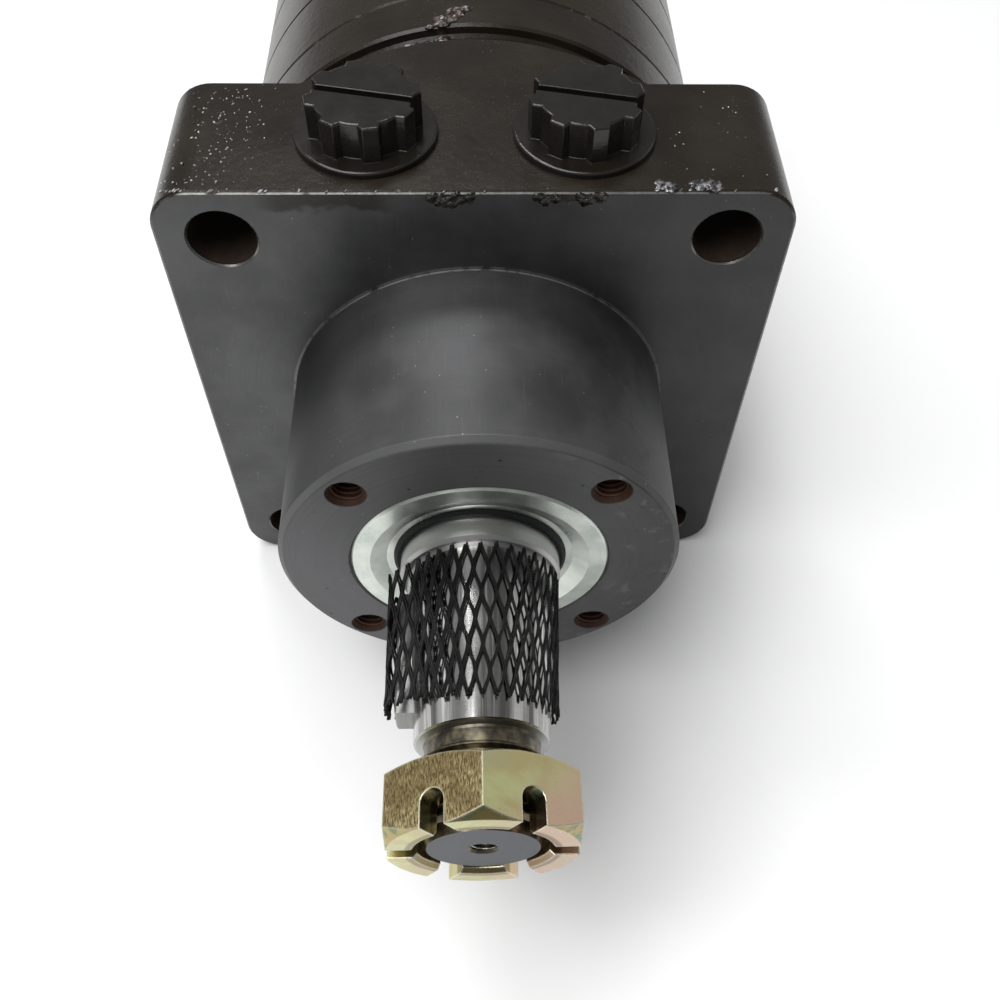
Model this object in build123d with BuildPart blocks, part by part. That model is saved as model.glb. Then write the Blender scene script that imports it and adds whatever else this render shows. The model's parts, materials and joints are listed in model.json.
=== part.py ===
"""Orbital (geroler) hydraulic wheel motor, as an assembly of separate pieces.

Frame, in millimetres: the origin is on the shaft axis in the plane of the mounting flange's front face.
-Y points out along the output shaft, +Y runs back through the rotor set to the end cover, +Z points out
of the two oil ports and +X completes the right-handed frame.

Profiles of turned pieces are drawn in the XY plane, with x as radius and y as the place along the shaft,
and revolved about Y. Flat outlines are drawn in planes parallel to XZ and extruded forward, towards -Y.
"""
import os
from math import cos, pi, radians, sin, sqrt

from build123d import *

os.makedirs("parts", exist_ok=True)

# ---- driving dimensions: outside ---------------------------------------------------------------------
FLANGE_WIDTH = 132.0
FLANGE_HEIGHT = 128.6
FLANGE_THICKNESS = 36.5
FLANGE_CORNER = 9.5
BOLT_SPACING = 104.36           # side of the square of four mounting holes, a 147.6 mm bolt circle
MOUNT_HOLE_R = 7.15
MOUNT_MOUTH = 0.4               # countersink at the front of each mounting hole
EDGE_BREAK = 0.6

NECK_R = 44.1
NECK_FRONT = -46.5
NECK_CHAMFER = 1.3
FACE_TAP_CIRCLE_R = 37.85
FACE_TAP_R = 3.4
FACE_TAP_MOUTH_R = 4.35
FACE_TAP_DEPTH = 16.0
FACE_TAP_MOUTH_DEPTH = 1.1

BODY_R = 63.3                   # round rear body
GROOVE_R = 59.8                 # relief in front of the housing's rear flange
HOUSING_REAR = 74.5
STATOR_REAR = 98.5
CHANNEL_REAR = 122.0
VALVE_HOUSING_REAR = 145.0
COVER_REAR = 163.0
BOSS_HALF_WIDTH = 37.5          # port boss behind the block
BOSS_REAR_R = 64.3              # the boss cone's radius where it rolls over into the groove
BOSS_REAR = 52.8
REAR_FLANGE_FRONT = 60.5

PORT_X = 22.6
PORT_Y = 18.6
PORT_TOP = FLANGE_HEIGHT / 2
PORT_BORE_R = 9.3
PORT_DEPTH = 19.0
PORT_STEM_R = 9.25
PLUG_FLANGE_R = 14.9
PLUG_FLANGE_H = 1.5
PLUG_HEAD_R = 11.7
PLUG_VALLEY_R = 10.3
PLUG_TOP = 73.7
PLUG_LOBES = 8
PLUG_SLOT_TURN = -12.0          # the slot's direction, degrees from +X towards +Y
PLUG_SLOT_WIDTH = 1.8
PLUG_SLOT_DEPTH = 2.6

# ---- driving dimensions: shaft -----------------------------------------------------------------------
SEAL_JOURNAL_R = 17.5
SHOULDER_Y = -51.0
TAPER_SMALL_R = 13.65
TAPER_END = -89.0
TAPER = 1 / 16                  # radius gained for each mm, a 1:8 taper on diameter
THREAD_R = 12.7
THREAD_CORE_R = 11.55
THREAD_START = -92.4
THREAD_PITCH = 1.8143           # 14 threads to the inch
SHAFT_END = -109.3
SHAFT_TIP_R = 10.8
SHAFT_TAP_R = 2.55
SHAFT_TAP_DEPTH = 12.0
FRONT_JOURNAL_R = 21.5
REAR_JOURNAL_R = 24.5
SHAFT_REAR = 66.5
SHAFT_BARREL_R = 26.0           # plain length between the bearings
SHAFT_COLLAR_R = 33.0
SHAFT_COLLAR_FRONT = 1.6
SHAFT_COLLAR_REAR = 8.0
SOCKET_R = 17.0                 # clearance bore behind the shaft's own spline
SOCKET_SPLINE_REAR = 28.0
SOCKET_SPLINE_FRONT = 10.0
SOCKET_FLOOR = 7.0

KEY_WIDTH = 7.94
KEY_TOP_X = -17.4
KEY_BOTTOM_X = -10.2
KEY_FRONT = -83.4
KEY_REAR = -54.6

NUT_FLATS = 36.5
NUT_REAR = -96.8
NUT_FRONT = -110.0
NUT_SLOT_WIDTH = 5.0
NUT_SLOT_FLOOR = -103.1
NUT_CHAMFER_R = 18.3
NUT_CHAMFER_Y = 1.8
NUT_REAR_CHAMFER_Y = 1.6

NET_FRONT = -85.3
NET_REAR = -51.4
NET_WALL = 1.1
NET_ROUND_R = 17.35
NET_KEY_X = -19.35              # the sleeve's outside where it is stretched over the key
NET_KEY_HALF_W = 4.7

# ---- driving dimensions: rotor set and valve ---------------------------------------------------------
ROLLERS = 7
ROLLER_CIRCLE_R = 40.0
ROLLER_R = 5.97
POCKET_R = 6.0
ECCENTRICITY = 3.0
FACE_GAP = 0.03                 # oil film on each side of the rotor, the rollers and the valve
FLANK_GAP = 0.05                # between the rotor and a roller pushed fully outward
STATOR_BORE_R = 40.3

BOLT_CIRCLE_R = 53.0
BOLT_R = 3.95
BOLT_HOLE_R = 4.3
BOLT_TAP_R = 4.0
BOLT_TIP = 54.0
BOLT_HEAD_FLATS = 13.0
BOLT_HEAD_H = 8.0
BOLT_WASHER_R = 7.1
BOLT_WASHER_H = 1.6

GALLERY_CIRCLE_R = 52.5
GALLERY_R = 3.5
GALLERY_ANGLE = 180 / ROLLERS   # each side of +Z

RING_SEAL_R = 60.0              # mean radius of the O-rings between the sections
RING_SECTION_R = 0.9
RING_GROOVE_W = 2.2
RING_GROOVE_D = 1.85

SPLINE_TEETH = 12
SPLINE_MINOR = 12.6
SPLINE_MAJOR = 15.4
SPLINE_TOOTH_W = 3.6            # width of a female space at its root circle
SPLINE_GAP = 0.45               # clearance of the crowned male teeth, all round
LINK_FRONT_PIVOT = 19.0
LINK_REAR_PIVOT = 83.0
LINK_NECK_R = 9.8
LINK_NOSE_R = 6.0
LINK_NOSE_LENGTH = 3.5
CROWN_HALF_LENGTH = 6.5
CROWN_END_SCALE = 0.965

VALVE_PIVOT = 128.0
VALVE_FRONT_PIVOT = 95.0
VALVE_SPLINE_SCALE = 0.66       # the valve's own spline against the rotor's
VALVE_R = 33.0
VALVE_REAR = 133.0

# ---- bearings ----------------------------------------------------------------------------------------
BEARING_GAP = 0.02
FRONT_CUP_R = 28.5
REAR_CUP_R = 34.0
SHOULDER_THRUST = -5.0          # housing shoulder that carries the thrust bearing
THRUST_OUTER_R = 33.6


# ---- shared helpers ----------------------------------------------------------------------------------
def across(y, z=0.0):
    """A plane square to the shaft at y, with local x along X, local y along Z and its normal along -Y."""
    return Plane(origin=(0, y, z), x_dir=(1, 0, 0), z_dir=(0, -1, 0))


def spot(radius, angle):
    """A point in such a plane, at an angle in degrees from +Z towards +X."""
    return (radius * sin(radians(angle)), radius * cos(radians(angle)))


def turned(points, mode=Mode.ADD):
    """Revolve a closed outline of (radius, y) points about the shaft axis, inside the current part."""
    with BuildSketch(Plane.XY) as outline:
        Polygon(*points, align=None)
    revolve(outline.sketch, axis=Axis.Y, mode=mode)


def ring(inner, outer, front, rear):
    """A plain turned ring between two radii and two places along the shaft."""
    turned([(inner, front), (outer, front), (outer, rear), (inner, rear)])


def bore(radius, front, rear, mode=Mode.SUBTRACT):
    """A round hole, or with Mode.ADD a round bar, on the shaft axis."""
    with BuildSketch(across(rear)) as outline:
        Circle(radius)
    extrude(outline.sketch, amount=rear - front, mode=mode)


def holes(radius, places, front, rear, mode=Mode.SUBTRACT):
    """Round holes, or bars, parallel to the shaft at (x, z) places."""
    with BuildSketch(across(rear)) as outline:
        with Locations(*places):
            Circle(radius)
    extrude(outline.sketch, amount=rear - front, mode=mode)


def seal_groove(face_y, inward):
    """An O-ring groove in a section's face: inward is +1 to cut towards +Y and -1 towards -Y."""
    floor = face_y + inward * RING_GROOVE_D
    inner = RING_SEAL_R - RING_GROOVE_W / 2
    outer = RING_SEAL_R + RING_GROOVE_W / 2
    turned([(inner, face_y), (outer, face_y), (outer, floor), (inner, floor)], Mode.SUBTRACT)


def o_ring(mean_radius, y, section=RING_SECTION_R):
    """A round-section seal ring about the shaft axis."""
    with BuildSketch(Plane.XY) as outline:
        with Locations((mean_radius, y)):
            Circle(section)
    revolve(outline.sketch, axis=Axis.Y)


def spline_outline(gap=0.0, scale=1.0):
    """A spline's outline: the female one as it is, the male one drawn smaller by a gap."""
    minor = SPLINE_MINOR * scale - gap
    major = SPLINE_MAJOR * scale - gap
    root_half = SPLINE_TOOTH_W * scale / 2 - gap
    tip_half = root_half * 0.78
    Circle(minor)
    with PolarLocations(0, SPLINE_TEETH):
        Polygon((minor - 1.5, -root_half), (minor, -root_half), (major, -tip_half),
                (major, tip_half), (minor, root_half), (minor - 1.5, root_half), align=None)


def crowned_head(axis_plane, pivot, half_length, scale=1.0):
    """Male spline teeth that shrink towards both ends, on a plane whose normal is the link's axis."""
    for end in (-1, 1):
        with BuildSketch(axis_plane.offset(pivot)) as middle:
            spline_outline(SPLINE_GAP, scale)
        with BuildSketch(axis_plane.offset(pivot + end * half_length)) as tip:
            spline_outline(SPLINE_GAP, scale * CROWN_END_SCALE)
        loft([middle.sketch, tip.sketch], ruled=True)


def rotor_point(turn):
    """A point of the rotor's flank: the roller centres' path, drawn in by a roller's radius."""
    path_x = ROLLER_CIRCLE_R * sin(turn) - ECCENTRICITY * sin(ROLLERS * turn)
    path_z = ROLLER_CIRCLE_R * cos(turn) - ECCENTRICITY * cos(ROLLERS * turn)
    run_x = ROLLER_CIRCLE_R * cos(turn) - ROLLERS * ECCENTRICITY * cos(ROLLERS * turn)
    run_z = -ROLLER_CIRCLE_R * sin(turn) + ROLLERS * ECCENTRICITY * sin(ROLLERS * turn)
    speed = sqrt(run_x**2 + run_z**2)
    inset = ROLLER_R + FLANK_GAP
    return (path_x + inset * run_z / speed, path_z - inset * run_x / speed)


def bearing_rollers(radius, count, front, rear, path_r):
    """A ring of parallel rollers."""
    places = [spot(path_r, 360 * index / count) for index in range(count)]
    holes(radius, places, front, rear, Mode.ADD)


def bearing_cage(inner, outer, front, rear, count, path_r, pocket_w, pocket_front, pocket_rear):
    """A thin ring with a window for each roller."""
    ring(inner, outer, front, rear)
    pocket_mid = (pocket_front + pocket_rear) / 2
    with Locations(Plane(origin=(0, pocket_mid, 0), x_dir=(0, 0, 1), z_dir=(0, 1, 0))):
        with PolarLocations(path_r, count):
            Box(8, pocket_w, pocket_rear - pocket_front, mode=Mode.SUBTRACT)


roller_angles = [180 / ROLLERS + 360 * index / ROLLERS for index in range(ROLLERS)]
chamber_angles = [360 * index / ROLLERS for index in range(ROLLERS)]
bolt_places = [spot(BOLT_CIRCLE_R, angle) for angle in chamber_angles]
gallery_places = [spot(GALLERY_CIRCLE_R, angle) for angle in (-GALLERY_ANGLE, GALLERY_ANGLE)]
mount_places = [(x, z) for x in (-BOLT_SPACING / 2, BOLT_SPACING / 2)
                for z in (-BOLT_SPACING / 2, BOLT_SPACING / 2)]

# ---- housing: flange block, neck, port boss and rear flange in one casting ---------------------------
CARRIER_BORE_R = 28.5
CARRIER_FLOOR = -38.5
SEAL_BORE_R = 25.0
SEAL_FLOOR = -31.0
LIP_R = 22.5
FRONT_BEARING_FLOOR = -28.0
MAIN_BORE_R = 34.0
PLATE_BORE_R = 47.0
PLATE_FLOOR = 68.5

with BuildPart() as port_boss:
    # a conical shoulder that falls away from the top of the block to the groove
    with BuildSketch(Plane.XY):
        with BuildLine():
            Polyline((50, 20), (80, 20), (80, 27), (BOSS_REAR_R, BOSS_REAR), (62.0, 55.6), (60.4, 57.4),
                     (50, 58), close=True)
        make_face()
    revolve(axis=Axis.Y)
    with BuildSketch(across(60.0)):
        with Locations((0, PORT_TOP / 2)):
            Rectangle(2 * BOSS_HALF_WIDTH, PORT_TOP)
    extrude(amount=45.0, mode=Mode.INTERSECT)

with BuildPart() as housing_bores:
    turned([(0, NECK_FRONT - 1), (CARRIER_BORE_R + 1.4, NECK_FRONT - 1), (CARRIER_BORE_R, NECK_FRONT + 0.4),
            (CARRIER_BORE_R, CARRIER_FLOOR), (SEAL_BORE_R, CARRIER_FLOOR), (SEAL_BORE_R, SEAL_FLOOR),
            (LIP_R, SEAL_FLOOR), (LIP_R, FRONT_BEARING_FLOOR), (FRONT_CUP_R, FRONT_BEARING_FLOOR),
            (FRONT_CUP_R, SHOULDER_THRUST), (MAIN_BORE_R, SHOULDER_THRUST), (MAIN_BORE_R, PLATE_FLOOR),
            (PLATE_BORE_R, PLATE_FLOOR), (PLATE_BORE_R, HOUSING_REAR + 1), (0, HOUSING_REAR + 1)])

with BuildPart() as housing:
    with BuildSketch(across(FLANGE_THICKNESS)):
        RectangleRounded(FLANGE_WIDTH, FLANGE_HEIGHT, FLANGE_CORNER)
    extrude(amount=FLANGE_THICKNESS)
    chamfer(housing.edges().group_by(Axis.Y)[0], EDGE_BREAK)
    chamfer(housing.edges().group_by(Axis.Y)[-1], EDGE_BREAK)
    # neck, with its worn front edge
    turned([(0, NECK_FRONT), (NECK_R - NECK_CHAMFER, NECK_FRONT), (NECK_R, NECK_FRONT + NECK_CHAMFER),
            (NECK_R, 1.0), (0, 1.0)])
    # round casting behind the block, its relief groove and the rear flange
    turned([(0, 30.0), (62.5, 30.0), (62.5, 52.0), (60.8, 55.5), (GROOVE_R, 58.0), (60.2, 59.8),
            (61.0, REAR_FLANGE_FRONT), (BODY_R - EDGE_BREAK, REAR_FLANGE_FRONT),
            (BODY_R, REAR_FLANGE_FRONT + EDGE_BREAK),
            (BODY_R, HOUSING_REAR - EDGE_BREAK), (BODY_R - EDGE_BREAK, HOUSING_REAR), (0, HOUSING_REAR)])
    add(port_boss.part)
    add(housing_bores.part, mode=Mode.SUBTRACT)
    holes(MOUNT_HOLE_R, mount_places, -1.0, FLANGE_THICKNESS + 1.0)
    for x, z in mount_places:
        # countersunk mouths of the mounting holes
        with Locations(Plane(origin=(x, 0, z), z_dir=(0, 1, 0))):
            Cone(MOUNT_HOLE_R + MOUNT_MOUTH, MOUNT_HOLE_R - 0.1, MOUNT_MOUTH + 0.1,
                 align=(Align.CENTER, Align.CENTER, Align.MIN), mode=Mode.SUBTRACT)
    # tapped holes in the neck's face
    face_taps = [spot(FACE_TAP_CIRCLE_R, 45 + 90 * index) for index in range(4)]
    holes(FACE_TAP_R, face_taps, NECK_FRONT - 1, NECK_FRONT + FACE_TAP_DEPTH)
    for x, z in face_taps:
        with Locations(Plane(origin=(x, NECK_FRONT, z), z_dir=(0, 1, 0))):
            Cone(FACE_TAP_MOUTH_R, FACE_TAP_R - 0.05, FACE_TAP_MOUTH_DEPTH,
                 align=(Align.CENTER, Align.CENTER, Align.MIN), mode=Mode.SUBTRACT)
    # cover bolts' tapped holes, oil galleries and the two ports
    holes(BOLT_TAP_R, bolt_places, BOLT_TIP - 2.0, HOUSING_REAR + 1)
    holes(GALLERY_R, gallery_places, PORT_Y, HOUSING_REAR + 1)
    with BuildSketch(Plane.XY.offset(PORT_TOP - PORT_DEPTH)):
        with Locations((-PORT_X, PORT_Y), (PORT_X, PORT_Y)):
            Circle(PORT_BORE_R)
    extrude(amount=PORT_DEPTH + 1, mode=Mode.SUBTRACT)
    seal_groove(HOUSING_REAR, -1)
housing.part.label = "housing"
export_step(housing.part, "parts/housing.step")

# ---- front seals -------------------------------------------------------------------------------------
CARRIER_REAR = -38.6
CARRIER_LIP_R = 19.05
DUST_SEAL_R = 22.5
CARRIER_RING_Y = -43.2

with BuildPart() as seal_carrier:
    turned([(CARRIER_LIP_R, -44.9), (20.6, -45.0), (24.2, NECK_FRONT - 0.1), (27.9, NECK_FRONT - 0.1),
            (28.4, -46.1), (28.4, CARRIER_RING_Y - 1.2), (26.6, CARRIER_RING_Y - 1.2),
            (26.6, CARRIER_RING_Y + 1.2), (28.4, CARRIER_RING_Y + 1.2), (28.4, CARRIER_REAR),
            (DUST_SEAL_R, CARRIER_REAR), (DUST_SEAL_R, -43.9), (CARRIER_LIP_R, -43.9)])
seal_carrier.part.label = "seal_carrier"
export_step(seal_carrier.part, "parts/seal_carrier.step")

with BuildPart() as carrier_o_ring:
    o_ring(27.55, CARRIER_RING_Y)
carrier_o_ring.part.label = "carrier_o_ring"
export_step(carrier_o_ring.part, "parts/carrier_o_ring.step")

with BuildPart() as dust_seal:
    turned([(17.55, -45.6), (18.3, -45.8), (19.0, -45.2), (19.0, -43.8), (22.4, -43.8), (22.4, -40.2),
            (18.6, -40.2), (18.6, -42.6), (17.55, -43.6)])
dust_seal.part.label = "dust_seal"
export_step(dust_seal.part, "parts/dust_seal.step")

with BuildPart() as shaft_seal:
    turned([(17.55, -36.4), (18.4, -37.6), (20.0, -35.6), (22.6, -35.6), (22.6, -38.3), (24.95, -38.3),
            (24.95, -33.2), (18.4, -33.2), (17.55, -34.4)])
shaft_seal.part.label = "shaft_seal"
export_step(shaft_seal.part, "parts/shaft_seal.step")

with BuildPart() as seal_backup_washer:
    ring(17.9, 24.95, -33.1, -31.1)
seal_backup_washer.part.label = "seal_backup_washer"
export_step(seal_backup_washer.part, "parts/seal_backup_washer.step")

# ---- output shaft ------------------------------------------------------------------------------------
taper_big_r = TAPER_SMALL_R + (SHOULDER_Y - TAPER_END) * TAPER
thread_turns = int((THREAD_START - (SHAFT_END + 1.9)) / THREAD_PITCH)
thread_profile = [(THREAD_CORE_R, THREAD_START)]
for turn_index in range(thread_turns):
    root_y = THREAD_START - turn_index * THREAD_PITCH
    thread_profile += [(THREAD_R, root_y - 0.42 * THREAD_PITCH), (THREAD_R, root_y - 0.58 * THREAD_PITCH),
                       (THREAD_CORE_R, root_y - THREAD_PITCH)]
shaft_outline = [
    (0, SHAFT_REAR), (REAR_JOURNAL_R - 0.8, SHAFT_REAR), (REAR_JOURNAL_R, SHAFT_REAR - 0.8),
    (REAR_JOURNAL_R, 45.0), (SHAFT_BARREL_R, 44.0), (SHAFT_BARREL_R, SHAFT_COLLAR_REAR),
    (SHAFT_COLLAR_R, SHAFT_COLLAR_REAR), (SHAFT_COLLAR_R, SHAFT_COLLAR_FRONT),
    (FRONT_JOURNAL_R, SHAFT_COLLAR_FRONT),
    (FRONT_JOURNAL_R, -28.6), (SEAL_JOURNAL_R, -30.2), (SEAL_JOURNAL_R, SHOULDER_Y + 0.7),
    (SEAL_JOURNAL_R - 0.7, SHOULDER_Y), (taper_big_r, SHOULDER_Y), (TAPER_SMALL_R, TAPER_END + 0.3),
    (TAPER_SMALL_R - 0.5, TAPER_END), (THREAD_CORE_R + 0.2, TAPER_END - 0.3),
    (THREAD_CORE_R, TAPER_END - 0.8), *thread_profile, (SHAFT_TIP_R, SHAFT_END), (0, SHAFT_END)]

def key_outline(room):
    """The key seen from its side: square at the front and round at the rear, with room added all round."""
    half = (KEY_WIDTH + room) / 2
    with Locations((KEY_FRONT - room, 0)):
        Rectangle(KEY_REAR - KEY_FRONT - KEY_WIDTH / 2 + room, 2 * half, align=(Align.MIN, Align.CENTER))
    with Locations((KEY_REAR - KEY_WIDTH / 2, 0)):
        Circle(half)


with BuildPart() as output_shaft:
    turned(shaft_outline)
    # socket for the drive link: clearance bore, splined length and bottom relief
    bore(SOCKET_R, SOCKET_SPLINE_REAR, SHAFT_REAR)
    with BuildSketch(across(SOCKET_SPLINE_REAR)):
        spline_outline()
    extrude(amount=SOCKET_SPLINE_REAR - SOCKET_SPLINE_FRONT, mode=Mode.SUBTRACT)
    bore(SPLINE_MAJOR + 0.3, SOCKET_FLOOR, SOCKET_SPLINE_FRONT)
    bore(SHAFT_TAP_R, SHAFT_END, SHAFT_END + SHAFT_TAP_DEPTH)
    with Locations(Plane(origin=(0, SHAFT_END, 0), z_dir=(0, 1, 0))):
        Cone(SHAFT_TAP_R + 0.5, SHAFT_TAP_R - 0.05, 0.55,
             align=(Align.CENTER, Align.CENTER, Align.MIN), mode=Mode.SUBTRACT)
    # keyway, open to the -X side
    with BuildSketch(Plane.YZ.offset(KEY_BOTTOM_X)):
        key_outline(0.04)
    extrude(amount=-10.0, mode=Mode.SUBTRACT)
output_shaft.part.label = "output_shaft"
export_step(output_shaft.part, "parts/output_shaft.step")

with BuildPart() as shaft_key:
    with BuildSketch(Plane.YZ.offset(KEY_BOTTOM_X)):
        key_outline(0.0)
    extrude(amount=KEY_TOP_X - KEY_BOTTOM_X)
    chamfer(shaft_key.edges().group_by(Axis.X)[0], 0.4)
shaft_key.part.label = "shaft_key"
export_step(shaft_key.part, "parts/shaft_key.step")

with BuildPart() as castle_nut:
    with BuildSketch(across(NUT_REAR)):
        RegularPolygon(NUT_FLATS / 2, 6, major_radius=False, rotation=30)
        Circle(THREAD_R + 0.05, mode=Mode.SUBTRACT)
    extrude(amount=NUT_REAR - NUT_FRONT)
    nut_corner_r = NUT_FLATS / 2 / cos(pi / 6)
    with BuildSketch(Plane.XY):
        with BuildLine():
            Polyline((0, NUT_FRONT), (NUT_CHAMFER_R, NUT_FRONT),
                     (nut_corner_r + 0.01, NUT_FRONT + NUT_CHAMFER_Y),
                     (nut_corner_r + 0.01, NUT_REAR - NUT_REAR_CHAMFER_Y),
                     (NUT_CHAMFER_R, NUT_REAR), (0, NUT_REAR), close=True)
        make_face()
    revolve(axis=Axis.Y, mode=Mode.INTERSECT)
    # round-bottomed slots across the flats, for a cotter pin
    for slot_turn in (30, 90, 150):
        across_flats = (sin(radians(slot_turn)), 0, cos(radians(slot_turn)))
        slot_plane = Plane(origin=(0, 0, 0), x_dir=(0, 1, 0), z_dir=across_flats)
        slot_front = NUT_FRONT - NUT_SLOT_WIDTH
        with BuildSketch(slot_plane):
            with Locations(((slot_front + NUT_SLOT_FLOOR) / 2, 0)):
                SlotOverall(NUT_SLOT_FLOOR - slot_front, NUT_SLOT_WIDTH)
        extrude(amount=NUT_FLATS, both=True, mode=Mode.SUBTRACT)
    with Locations(Plane(origin=(0, NUT_FRONT, 0), z_dir=(0, 1, 0))):
        Cone(THREAD_R + 1.0, THREAD_R, 1.0,
             align=(Align.CENTER, Align.CENTER, Align.MIN), mode=Mode.SUBTRACT)
castle_nut.part.label = "castle_nut"
export_step(castle_nut.part, "parts/castle_nut.step")

with BuildPart() as net_sleeve:
    # the sleeve's outline is stretched over the key on the -X side
    with BuildSketch(across(NET_REAR)) as net_section:
        with BuildLine():
            arc = CenterArc((0, 0), NET_ROUND_R, -180 + 50, 260)
            Polyline(arc @ 1, (NET_KEY_X, NET_KEY_HALF_W), (NET_KEY_X, -NET_KEY_HALF_W), arc @ 0)
        make_face()
        offset(amount=-NET_WALL, kind=Kind.INTERSECTION, mode=Mode.SUBTRACT)
    extrude(amount=NET_REAR - NET_FRONT)
net_sleeve.part.label = "net_sleeve"
export_step(net_sleeve.part, "parts/net_sleeve.step")

# ---- bearings: two drawn-cup roller bearings and a needle thrust bearing -----------------------------
FRONT_ROLLER_R = 2.0
FRONT_ROLLERS = 26
FRONT_CUP_FRONT = -27.9
FRONT_CUP_REAR = -5.1
REAR_ROLLER_R = 3.0
REAR_ROLLERS = 22
REAR_CUP_FRONT = 46.5
REAR_CUP_REAR = 66.5
CUP_LIP = 1.4
THRUST_NEEDLE_R = 1.25
THRUST_NEEDLES = 24
THRUST_NEEDLE_L = 7.0
THRUST_PATH_R = 27.75
THRUST_WASHER = 2.0
CAGE_SLACK = 0.1

front_path_r = FRONT_JOURNAL_R + FRONT_ROLLER_R + BEARING_GAP
front_race_r = front_path_r + FRONT_ROLLER_R + BEARING_GAP
rear_path_r = REAR_JOURNAL_R + REAR_ROLLER_R + BEARING_GAP
rear_race_r = rear_path_r + REAR_ROLLER_R + BEARING_GAP


def cup_outline(race_r, outer_r, front, rear):
    """A drawn cup: a thin race with a short inward lip at each end."""
    lip_r = race_r - 2.2
    return [(lip_r, front), (outer_r, front), (outer_r, rear), (lip_r, rear), (lip_r, rear - CUP_LIP),
            (race_r, rear - CUP_LIP), (race_r, front + CUP_LIP), (lip_r, front + CUP_LIP)]


with BuildPart() as front_bearing_cup:
    turned(cup_outline(front_race_r, FRONT_CUP_R, FRONT_CUP_FRONT, FRONT_CUP_REAR))
front_bearing_cup.part.label = "front_bearing_cup"
export_step(front_bearing_cup.part, "parts/front_bearing_cup.step")

with BuildPart() as front_bearing_cage:
    cage_front = FRONT_CUP_FRONT + CUP_LIP + CAGE_SLACK
    cage_rear = FRONT_CUP_REAR - CUP_LIP - CAGE_SLACK
    bearing_cage(front_path_r - 1.2, front_path_r + 1.2, cage_front, cage_rear, FRONT_ROLLERS, front_path_r,
                 2 * FRONT_ROLLER_R + 0.1, cage_front + 1.4, cage_rear - 1.4)
front_bearing_cage.part.label = "front_bearing_cage"
export_step(front_bearing_cage.part, "parts/front_bearing_cage.step")

with BuildPart() as front_bearing_rollers:
    bearing_rollers(FRONT_ROLLER_R, FRONT_ROLLERS, cage_front + 1.5, cage_rear - 1.5, front_path_r)
front_bearing_rollers.part.label = "front_bearing_rollers"
export_step(front_bearing_rollers.part, "parts/front_bearing_rollers.step")

with BuildPart() as rear_bearing_cup:
    turned(cup_outline(rear_race_r, REAR_CUP_R, REAR_CUP_FRONT, REAR_CUP_REAR))
rear_bearing_cup.part.label = "rear_bearing_cup"
export_step(rear_bearing_cup.part, "parts/rear_bearing_cup.step")

with BuildPart() as rear_bearing_cage:
    rear_cage_front = REAR_CUP_FRONT + CUP_LIP + CAGE_SLACK
    rear_cage_rear = REAR_CUP_REAR - CUP_LIP - CAGE_SLACK
    bearing_cage(rear_path_r - 1.5, rear_path_r + 1.5, rear_cage_front, rear_cage_rear, REAR_ROLLERS,
                 rear_path_r, 2 * REAR_ROLLER_R + 0.1, rear_cage_front + 1.4, rear_cage_rear - 1.4)
rear_bearing_cage.part.label = "rear_bearing_cage"
export_step(rear_bearing_cage.part, "parts/rear_bearing_cage.step")

with BuildPart() as rear_bearing_rollers:
    bearing_rollers(REAR_ROLLER_R, REAR_ROLLERS, rear_cage_front + 1.5, rear_cage_rear - 1.5, rear_path_r)
rear_bearing_rollers.part.label = "rear_bearing_rollers"
export_step(rear_bearing_rollers.part, "parts/rear_bearing_rollers.step")

needle_front = SHOULDER_THRUST + THRUST_WASHER + BEARING_GAP
needle_mid = needle_front + THRUST_NEEDLE_R
needle_rear = needle_mid + THRUST_NEEDLE_R

with BuildPart() as fixed_thrust_washer:
    ring(22.2, THRUST_OUTER_R, SHOULDER_THRUST, SHOULDER_THRUST + THRUST_WASHER)
fixed_thrust_washer.part.label = "fixed_thrust_washer"
export_step(fixed_thrust_washer.part, "parts/fixed_thrust_washer.step")

with BuildPart() as thrust_cage:
    ring(22.6, 32.9, needle_mid - 0.7, needle_mid + 0.7)
    with Locations(Plane(origin=(0, needle_mid, 0), z_dir=(0, 1, 0))):
        with PolarLocations(THRUST_PATH_R, THRUST_NEEDLES):
            Box(THRUST_NEEDLE_L + 0.1, 2 * THRUST_NEEDLE_R + 0.1, 4.0, mode=Mode.SUBTRACT)
thrust_cage.part.label = "thrust_cage"
export_step(thrust_cage.part, "parts/thrust_cage.step")

with BuildPart() as thrust_needles:
    with Locations(Plane(origin=(0, needle_mid, 0), z_dir=(0, 1, 0))):
        with PolarLocations(THRUST_PATH_R, THRUST_NEEDLES):
            Cylinder(THRUST_NEEDLE_R, THRUST_NEEDLE_L, rotation=(0, 90, 0))
thrust_needles.part.label = "thrust_needles"
export_step(thrust_needles.part, "parts/thrust_needles.step")

with BuildPart() as shaft_thrust_washer:
    ring(FRONT_JOURNAL_R + 0.05, 32.8, needle_rear + BEARING_GAP, SHAFT_COLLAR_FRONT)
shaft_thrust_washer.part.label = "shaft_thrust_washer"
export_step(shaft_thrust_washer.part, "parts/shaft_thrust_washer.step")

# ---- wear plate and rear thrust washer ---------------------------------------------------------------
WEAR_PLATE_BORE_R = 18.0

with BuildPart() as rear_thrust_washer:
    ring(18.2, 24.2, SHAFT_REAR + 0.05, PLATE_FLOOR - 0.05)
rear_thrust_washer.part.label = "rear_thrust_washer"
export_step(rear_thrust_washer.part, "parts/rear_thrust_washer.step")

with BuildPart() as wear_plate:
    turned([(WEAR_PLATE_BORE_R, PLATE_FLOOR), (PLATE_BORE_R - 0.4, PLATE_FLOOR),
            (PLATE_BORE_R, PLATE_FLOOR + 0.4), (PLATE_BORE_R, HOUSING_REAR),
            (WEAR_PLATE_BORE_R, HOUSING_REAR)])
wear_plate.part.label = "wear_plate"
export_step(wear_plate.part, "parts/wear_plate.step")

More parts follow.
